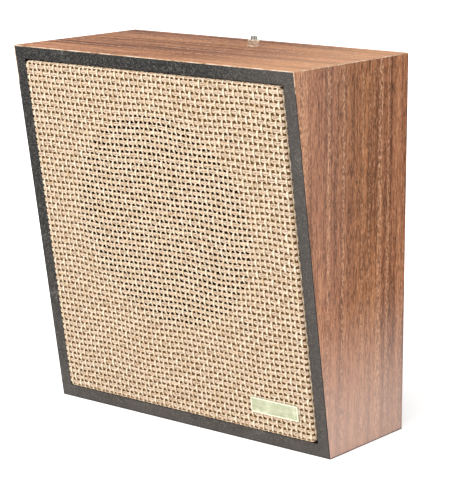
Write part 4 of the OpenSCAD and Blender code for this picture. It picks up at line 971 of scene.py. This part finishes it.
def wiring():
    """The six leads, from the same anchors and steps as in the CAD model."""
    leads("primary_leads", "lead_black", [
        near(COIL_SPOT, (-4, 14.8, 0), (-4, 20, 0), (2, 25, -4))
        + near(CORE_FOOT, (16, 28, 4.5), (36, 27, 1.1))
        + near(BLOCK_FOOT, (-51, -3, 1.1), (-29, -12, 1.1), (-13, -17, 2.5))
        + near(BAR_SPOT, (-5.5, -15.5, 0.5), (-5.5, -11, 2.4), (-5.5, -8.4, 1.7)),
        near(COIL_SPOT, (4, 14.8, 0), (4, 20, -1), (10, 23.5, -7))
        + near(CORE_FOOT, (26, 24, 2.5), (44, 22.5, 1.1))
        + near(BLOCK_FOOT, (-45, -8.5, 1.1), (-25, -18, 1.1), (-7, -23, 2))
        + near(BAR_SPOT, (5.5, -17, 0.5), (5.5, -11.5, 2.4), (5.5, -8.4, 1.7)),
    ], soldered=False)
    leads("secondary_leads", "lead_blue", [
        near(COIL_SPOT, (-4, -14.8, 0), (-4, -20, 0), (-12, -26, 5), (-30, -28, 21))
        + by_wall((18.5, 0.283, 33.3), (13.5, 0.463, 50.5), (14.5, 0.641, 69.7), (25.5, 0.786, 88.4))
        + near(POT_SPOT, (-83, 13.5, -12.2), (-51, 18.5, -6.2), (-25, 21, -4.2), (-13, 21.5, -3.2),
               (-7, 20.5, -1.9), (-5.5, 18.3, -0.9)),
        near(COIL_SPOT, (4, -14.8, 0), (3, -23, 1), (-8, -30, 6), (-28, -32, 23))
        + by_wall((21.5, 0.293, 29.7), (16.5, 0.472, 46.9), (17.5, 0.65, 66.1), (28.5, 0.782, 84.1))
        + near(POT_SPOT, (-81, 8.5, -16.2), (-51, 13.5, -10.7), (-23, 15.5, -8.7), (-9, 16, -7.7),
               (-2, 17.5, -5.2), (0, 18.2, -0.9)),
    ])
    down = ((8.5, 24.5, 15.9), (2.5, 13.5, 12.9), (0, 4.5, 8.9), (0, 1.5, 2.4), (0, 2.2, -2.9))
    leads("driver_leads", "lead_red", [
        near(POT_SPOT, (5.5, 18.3, -0.9), (7.5, 20, -5.2), (8, 16.5, -14.2), (4, 4.5, -24.2))
        + near(LUG_SPOTS[0], *down),
        near(POT_SPOT, (0, 18.4, 1.7), (0, 20.3, 1.9), (0.2, 21.9, 0.1), (1, 21, -6.2), (-1, 16.5, -15.2),
             (-9, 5.5, -24.2))
        + near(LUG_SPOTS[1], (8.5, 25.5, 15.9), *down[1:]),
    ], bare_start=True)


def tinsel():
    """The two braided leads from the lugs to the cone, and the drops of glue at the paper."""
    strands, drops = [], []
    for side in (-1, 1):
        line = spline(driver_to_world([(side * x, y, z) for x, y, z in TINSEL_ROUTE]), TINSEL_STEP)
        strands += twisted(line, TINSEL_WIRES, TINSEL_R, TINSEL_PITCH)
        drops.append(dab(line[-4], carried(line)[0][-1], GLUE_R))
    braids = tubes("tinsel_braids", strands, TINSEL_SIDES)
    dress(braids, "copper", "tinsel_leads", body=None)
    low, high = driver_to_world([TINSEL_LOW, TINSEL_HIGH])
    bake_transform(braids)
    dress(tubes("tinsel_glue", drops, GLUE_SIDES), "coil_tape", "tinsel_leads", body=CONE)


# Name plate and volume fitting
PLATE_X, PLATE_S, PLATE_BACK = 84.0, 31.0, BOARD_FRONT + CLOTH_T
PLATE_W, PLATE_H = 41.5, 11.6
PLATE_CORNER, LEAST_CORNER, CORNER_STEPS = 1.0, 0.3, 7
PLATE_PROFILE = [
    (0.0, 0.0), (0.0, 0.7), (0.08, 0.84), (0.22, 0.9), (0.72, 0.9), (0.86, 0.82), (0.94, 0.6), (1.5, 0.6),
    (1.6, 0.5), (1.8, 0.5), (1.9, 0.6),
]
PIN_X, PIN_R, PIN_LEN, PIN_RINGS, PIN_SIDES = 14.75, 0.8, 9.0, 12, 16
VOLUME_X, VOLUME_Y, VOLUME_SIDES = 17.0, BACK_Y - 34.5, 96
VOLUME_TURN = np.arange(VOLUME_SIDES) * 2 * math.pi / VOLUME_SIDES
BUSHING_R, BORE_R, BUSHING_LOW, BUSHING_TOP = 3.2, 2.45, 270.6, 279.7
BUSHING_CHAMFER, CREST_WORN, BORE_DROP = 0.35, 0.1, 0.02
THREAD_PITCH, THREAD_DEPTH, THREAD_STEPS = 0.8, 0.3, 8
NUT_FLAT_R, NUT_LOW, NUT_TALL = 4.0, 275.1, 4.2
NUT_BORE_R, NUT_MOUTH_R, NUT_MOUTH = 3.25, 3.5, 0.25
NUT_CHAMFER = [(0, 4.05), (0.11, 4.24), (0.22, 4.43), (0.33, 4.62)]
NUT_PROFILE = NUT_CHAMFER + [(NUT_TALL - up, limit) for up, limit in NUT_CHAMFER[::-1]]
NUT_BORE = [
    (NUT_TALL, NUT_MOUTH_R), (NUT_TALL - NUT_MOUTH, NUT_BORE_R), (NUT_MOUTH, NUT_BORE_R), (0, NUT_MOUTH_R),
]


def plate_ring(inset, up):
    """A rounded rectangle inside the plate's outline, up from its back."""
    corner = max(PLATE_CORNER - inset, LEAST_CORNER)
    half_w, half_h = PLATE_W / 2 - inset - corner, PLATE_H / 2 - inset - corner
    turn = np.linspace(0, math.pi / 2, CORNER_STEPS)
    ring = []
    for k, (way_x, way_s) in enumerate(((1, 1), (-1, 1), (-1, -1), (1, -1))):
        angle = turn + k * math.pi / 2
        x = PLATE_X + way_x * half_w + corner * np.cos(angle)
        s = PLATE_S + way_s * half_h + corner * np.sin(angle)
        ring.append(np.stack([x, s, np.full(len(turn), PLATE_BACK + up)], -1))
    return face_to_world(np.concatenate(ring))


def name_plate():
    """The bare plate: a rolled rim round a sunk face with a fine pressed line, on two pins."""
    dress(loft("plate_face", [plate_ring(*step) for step in PLATE_PROFILE]), "plate_metal", "name_plate")
    pins = []
    for side in (-1, 1):
        levels = PLATE_BACK - np.linspace(0, PIN_LEN, PIN_RINGS)
        line = face_to_world([(PLATE_X + side * PIN_X, PLATE_S, level) for level in levels])
        pins.append(round_strand(line, PIN_R))
    dress(tubes("plate_pins", pins, PIN_SIDES), "plate_metal", "name_plate")


def volume_ring(radius, z):
    """A ring of points round the volume control's axis."""
    return round_ring(radius, z, VOLUME_SIDES) + [VOLUME_X, VOLUME_Y, 0]


def bushing():
    """The threaded bushing."""
    rings = []
    for z in np.arange(BUSHING_LOW, BUSHING_TOP, THREAD_PITCH / THREAD_STEPS):
        place = (z / THREAD_PITCH - VOLUME_TURN / (2 * math.pi)) % 1
        radius = BUSHING_R - THREAD_DEPTH * np.abs(2 * place - 1)
        limit = BUSHING_R - CREST_WORN - max(0, z - BUSHING_TOP + BUSHING_CHAMFER)
        rings.append(volume_ring(np.minimum(radius, limit), z))
    rings += [volume_ring(BORE_R, BUSHING_TOP - BORE_DROP), volume_ring(BORE_R, BUSHING_LOW)]
    dress(loft("bushing_thread", rings, capped=False), "nickel", "volume_bushing")


def nut():
    """The chamfered hexagon nut."""
    hexagon = NUT_FLAT_R / np.cos(VOLUME_TURN % (math.pi / 3) - math.pi / 6)
    rings = [volume_ring(np.minimum(hexagon, limit), NUT_LOW + up) for up, limit in NUT_PROFILE]
    rings += [volume_ring(radius, NUT_LOW + up) for up, radius in NUT_BORE]
    dress(loft("nut_hexagon", rings, capped=False), "nickel", "volume_nut")


# Floor, light and camera
WHITE, WORLD_STRENGTH = (1, 1, 1, 1), 0.55
LAMPS = {
    "key": ((-1.1, -1.5, 1.3), 1.5, 22.0),
    "front": ((0.9, -1.9, 0.9), 1.6, 16.0),
    "right": ((2.2, 0.3, 0.6), 1.4, 12.0),
    "top": ((-0.2, -0.6, 1.9), 1.2, 10.0),
}
FLOOR_REACH, FLOOR_LEVEL, FLOOR_SIDES = 9000.0, -0.05, 96
SHADOW_NEAR, SHADOW_FAR, NEAR_GLOW = 0.25, 0.6, 0.4
LENS, SENSOR_W, CLIP_NEAR, CLIP_FAR = 137.82, 36.0, 0.05, 50.0
EYE_PLACE = (0.8639, -1.0520, 0.4313)
EYE_RIGHT, EYE_AHEAD = (0.78006, 0.62570, -0.00247), (-0.61110, 0.76101, -0.21774)


def world():
    """Soft white light all round, full white to the camera and mirrored rays."""
    bpy.context.scene.world = bpy.data.worlds.new("studio")
    studio = Nodes(bpy.context.scene.world)
    soft = studio.feed(studio.nodes["Background"], Color=WHITE, Strength=WORLD_STRENGTH)
    full = studio.add("Background", WHITE, 1.0)
    path = studio.add("LightPath").outputs
    seen = studio.maths("MAXIMUM", path["Is Camera Ray"], path["Is Glossy Ray"])
    choice = studio.add("MixShader", seen, soft.outputs[0], full.outputs[0])
    studio.feed(studio.nodes["World Output"], Surface=choice.outputs[0])


def lamps():
    """Four round lamps, turned to the middle of the box."""
    middle = Vector((0, 0, BODY_H * MM / 2))
    for name, (spot, size, power) in LAMPS.items():
        lamp = bpy.data.lights.new(name, "AREA")
        lamp.shape = "DISK"
        lamp.size = size
        lamp.energy = power
        light = in_scene(name, lamp)
        light.location = spot
        light.rotation_euler = (Vector(spot) - middle).to_track_quat("Z", "Y").to_euler()


def floor():
    """A wide pale floor, white to the camera but for the object's shadow."""
    points = np.concatenate([[[0, 0, FLOOR_LEVEL]], round_ring(FLOOR_REACH, FLOOR_LEVEL, FLOOR_SIDES)])
    faces = [[0, 1 + (k + 1) % FLOOR_SIDES, 1 + k] for k in range(FLOOR_SIDES)]
    piece = make_mesh("floor", points, [faces])
    surface = Finish("floor", rough=0.9)
    grain = surface.noise(scale=40, detail=3)
    tone = surface.ramp(grain, (0.3, 0.7), (252, 252, 252), (255, 255, 255))
    surface.set(Base_Color=tone, Specular_IOR_Level=0.0, Emission_Color=WHITE)
    away = surface.vector_maths("LENGTH", surface.frame_place)
    glow = surface.spread(away, SHADOW_NEAR, SHADOW_FAR, NEAR_GLOW, 1.0)
    seen = surface.add("LightPath").outputs["Is Camera Ray"]
    surface.set(Emission_Strength=surface.maths("MULTIPLY", seen, glow))
    piece.data.materials.append(surface.material)
    piece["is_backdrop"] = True


def camera():
    """The photograph's camera, found from the corners of the box."""
    data = bpy.data.cameras.new("camera")
    data.lens = LENS
    data.sensor_width = SENSOR_W
    data.clip_start, data.clip_end = CLIP_NEAR, CLIP_FAR
    eye = in_scene("camera", data)
    ahead = Vector(EYE_AHEAD).normalized()
    up = Vector(EYE_RIGHT).normalized().cross(ahead).normalized()
    turn = Matrix((ahead.cross(up), up, -ahead)).transposed()
    eye.matrix_world = Matrix.Translation(EYE_PLACE) @ turn.to_4x4()
    bpy.context.scene.camera = eye


dress_nodes()
grille_cloth()
cone()
surround()
spider()
wiring()
tinsel()
name_plate()
bushing()
nut()
world()
lamps()
floor()
camera()
bpy.context.scene.view_settings.view_transform = "Standard"

[[list(corner) for corner in box] for box in (CAD_BOX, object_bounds())]
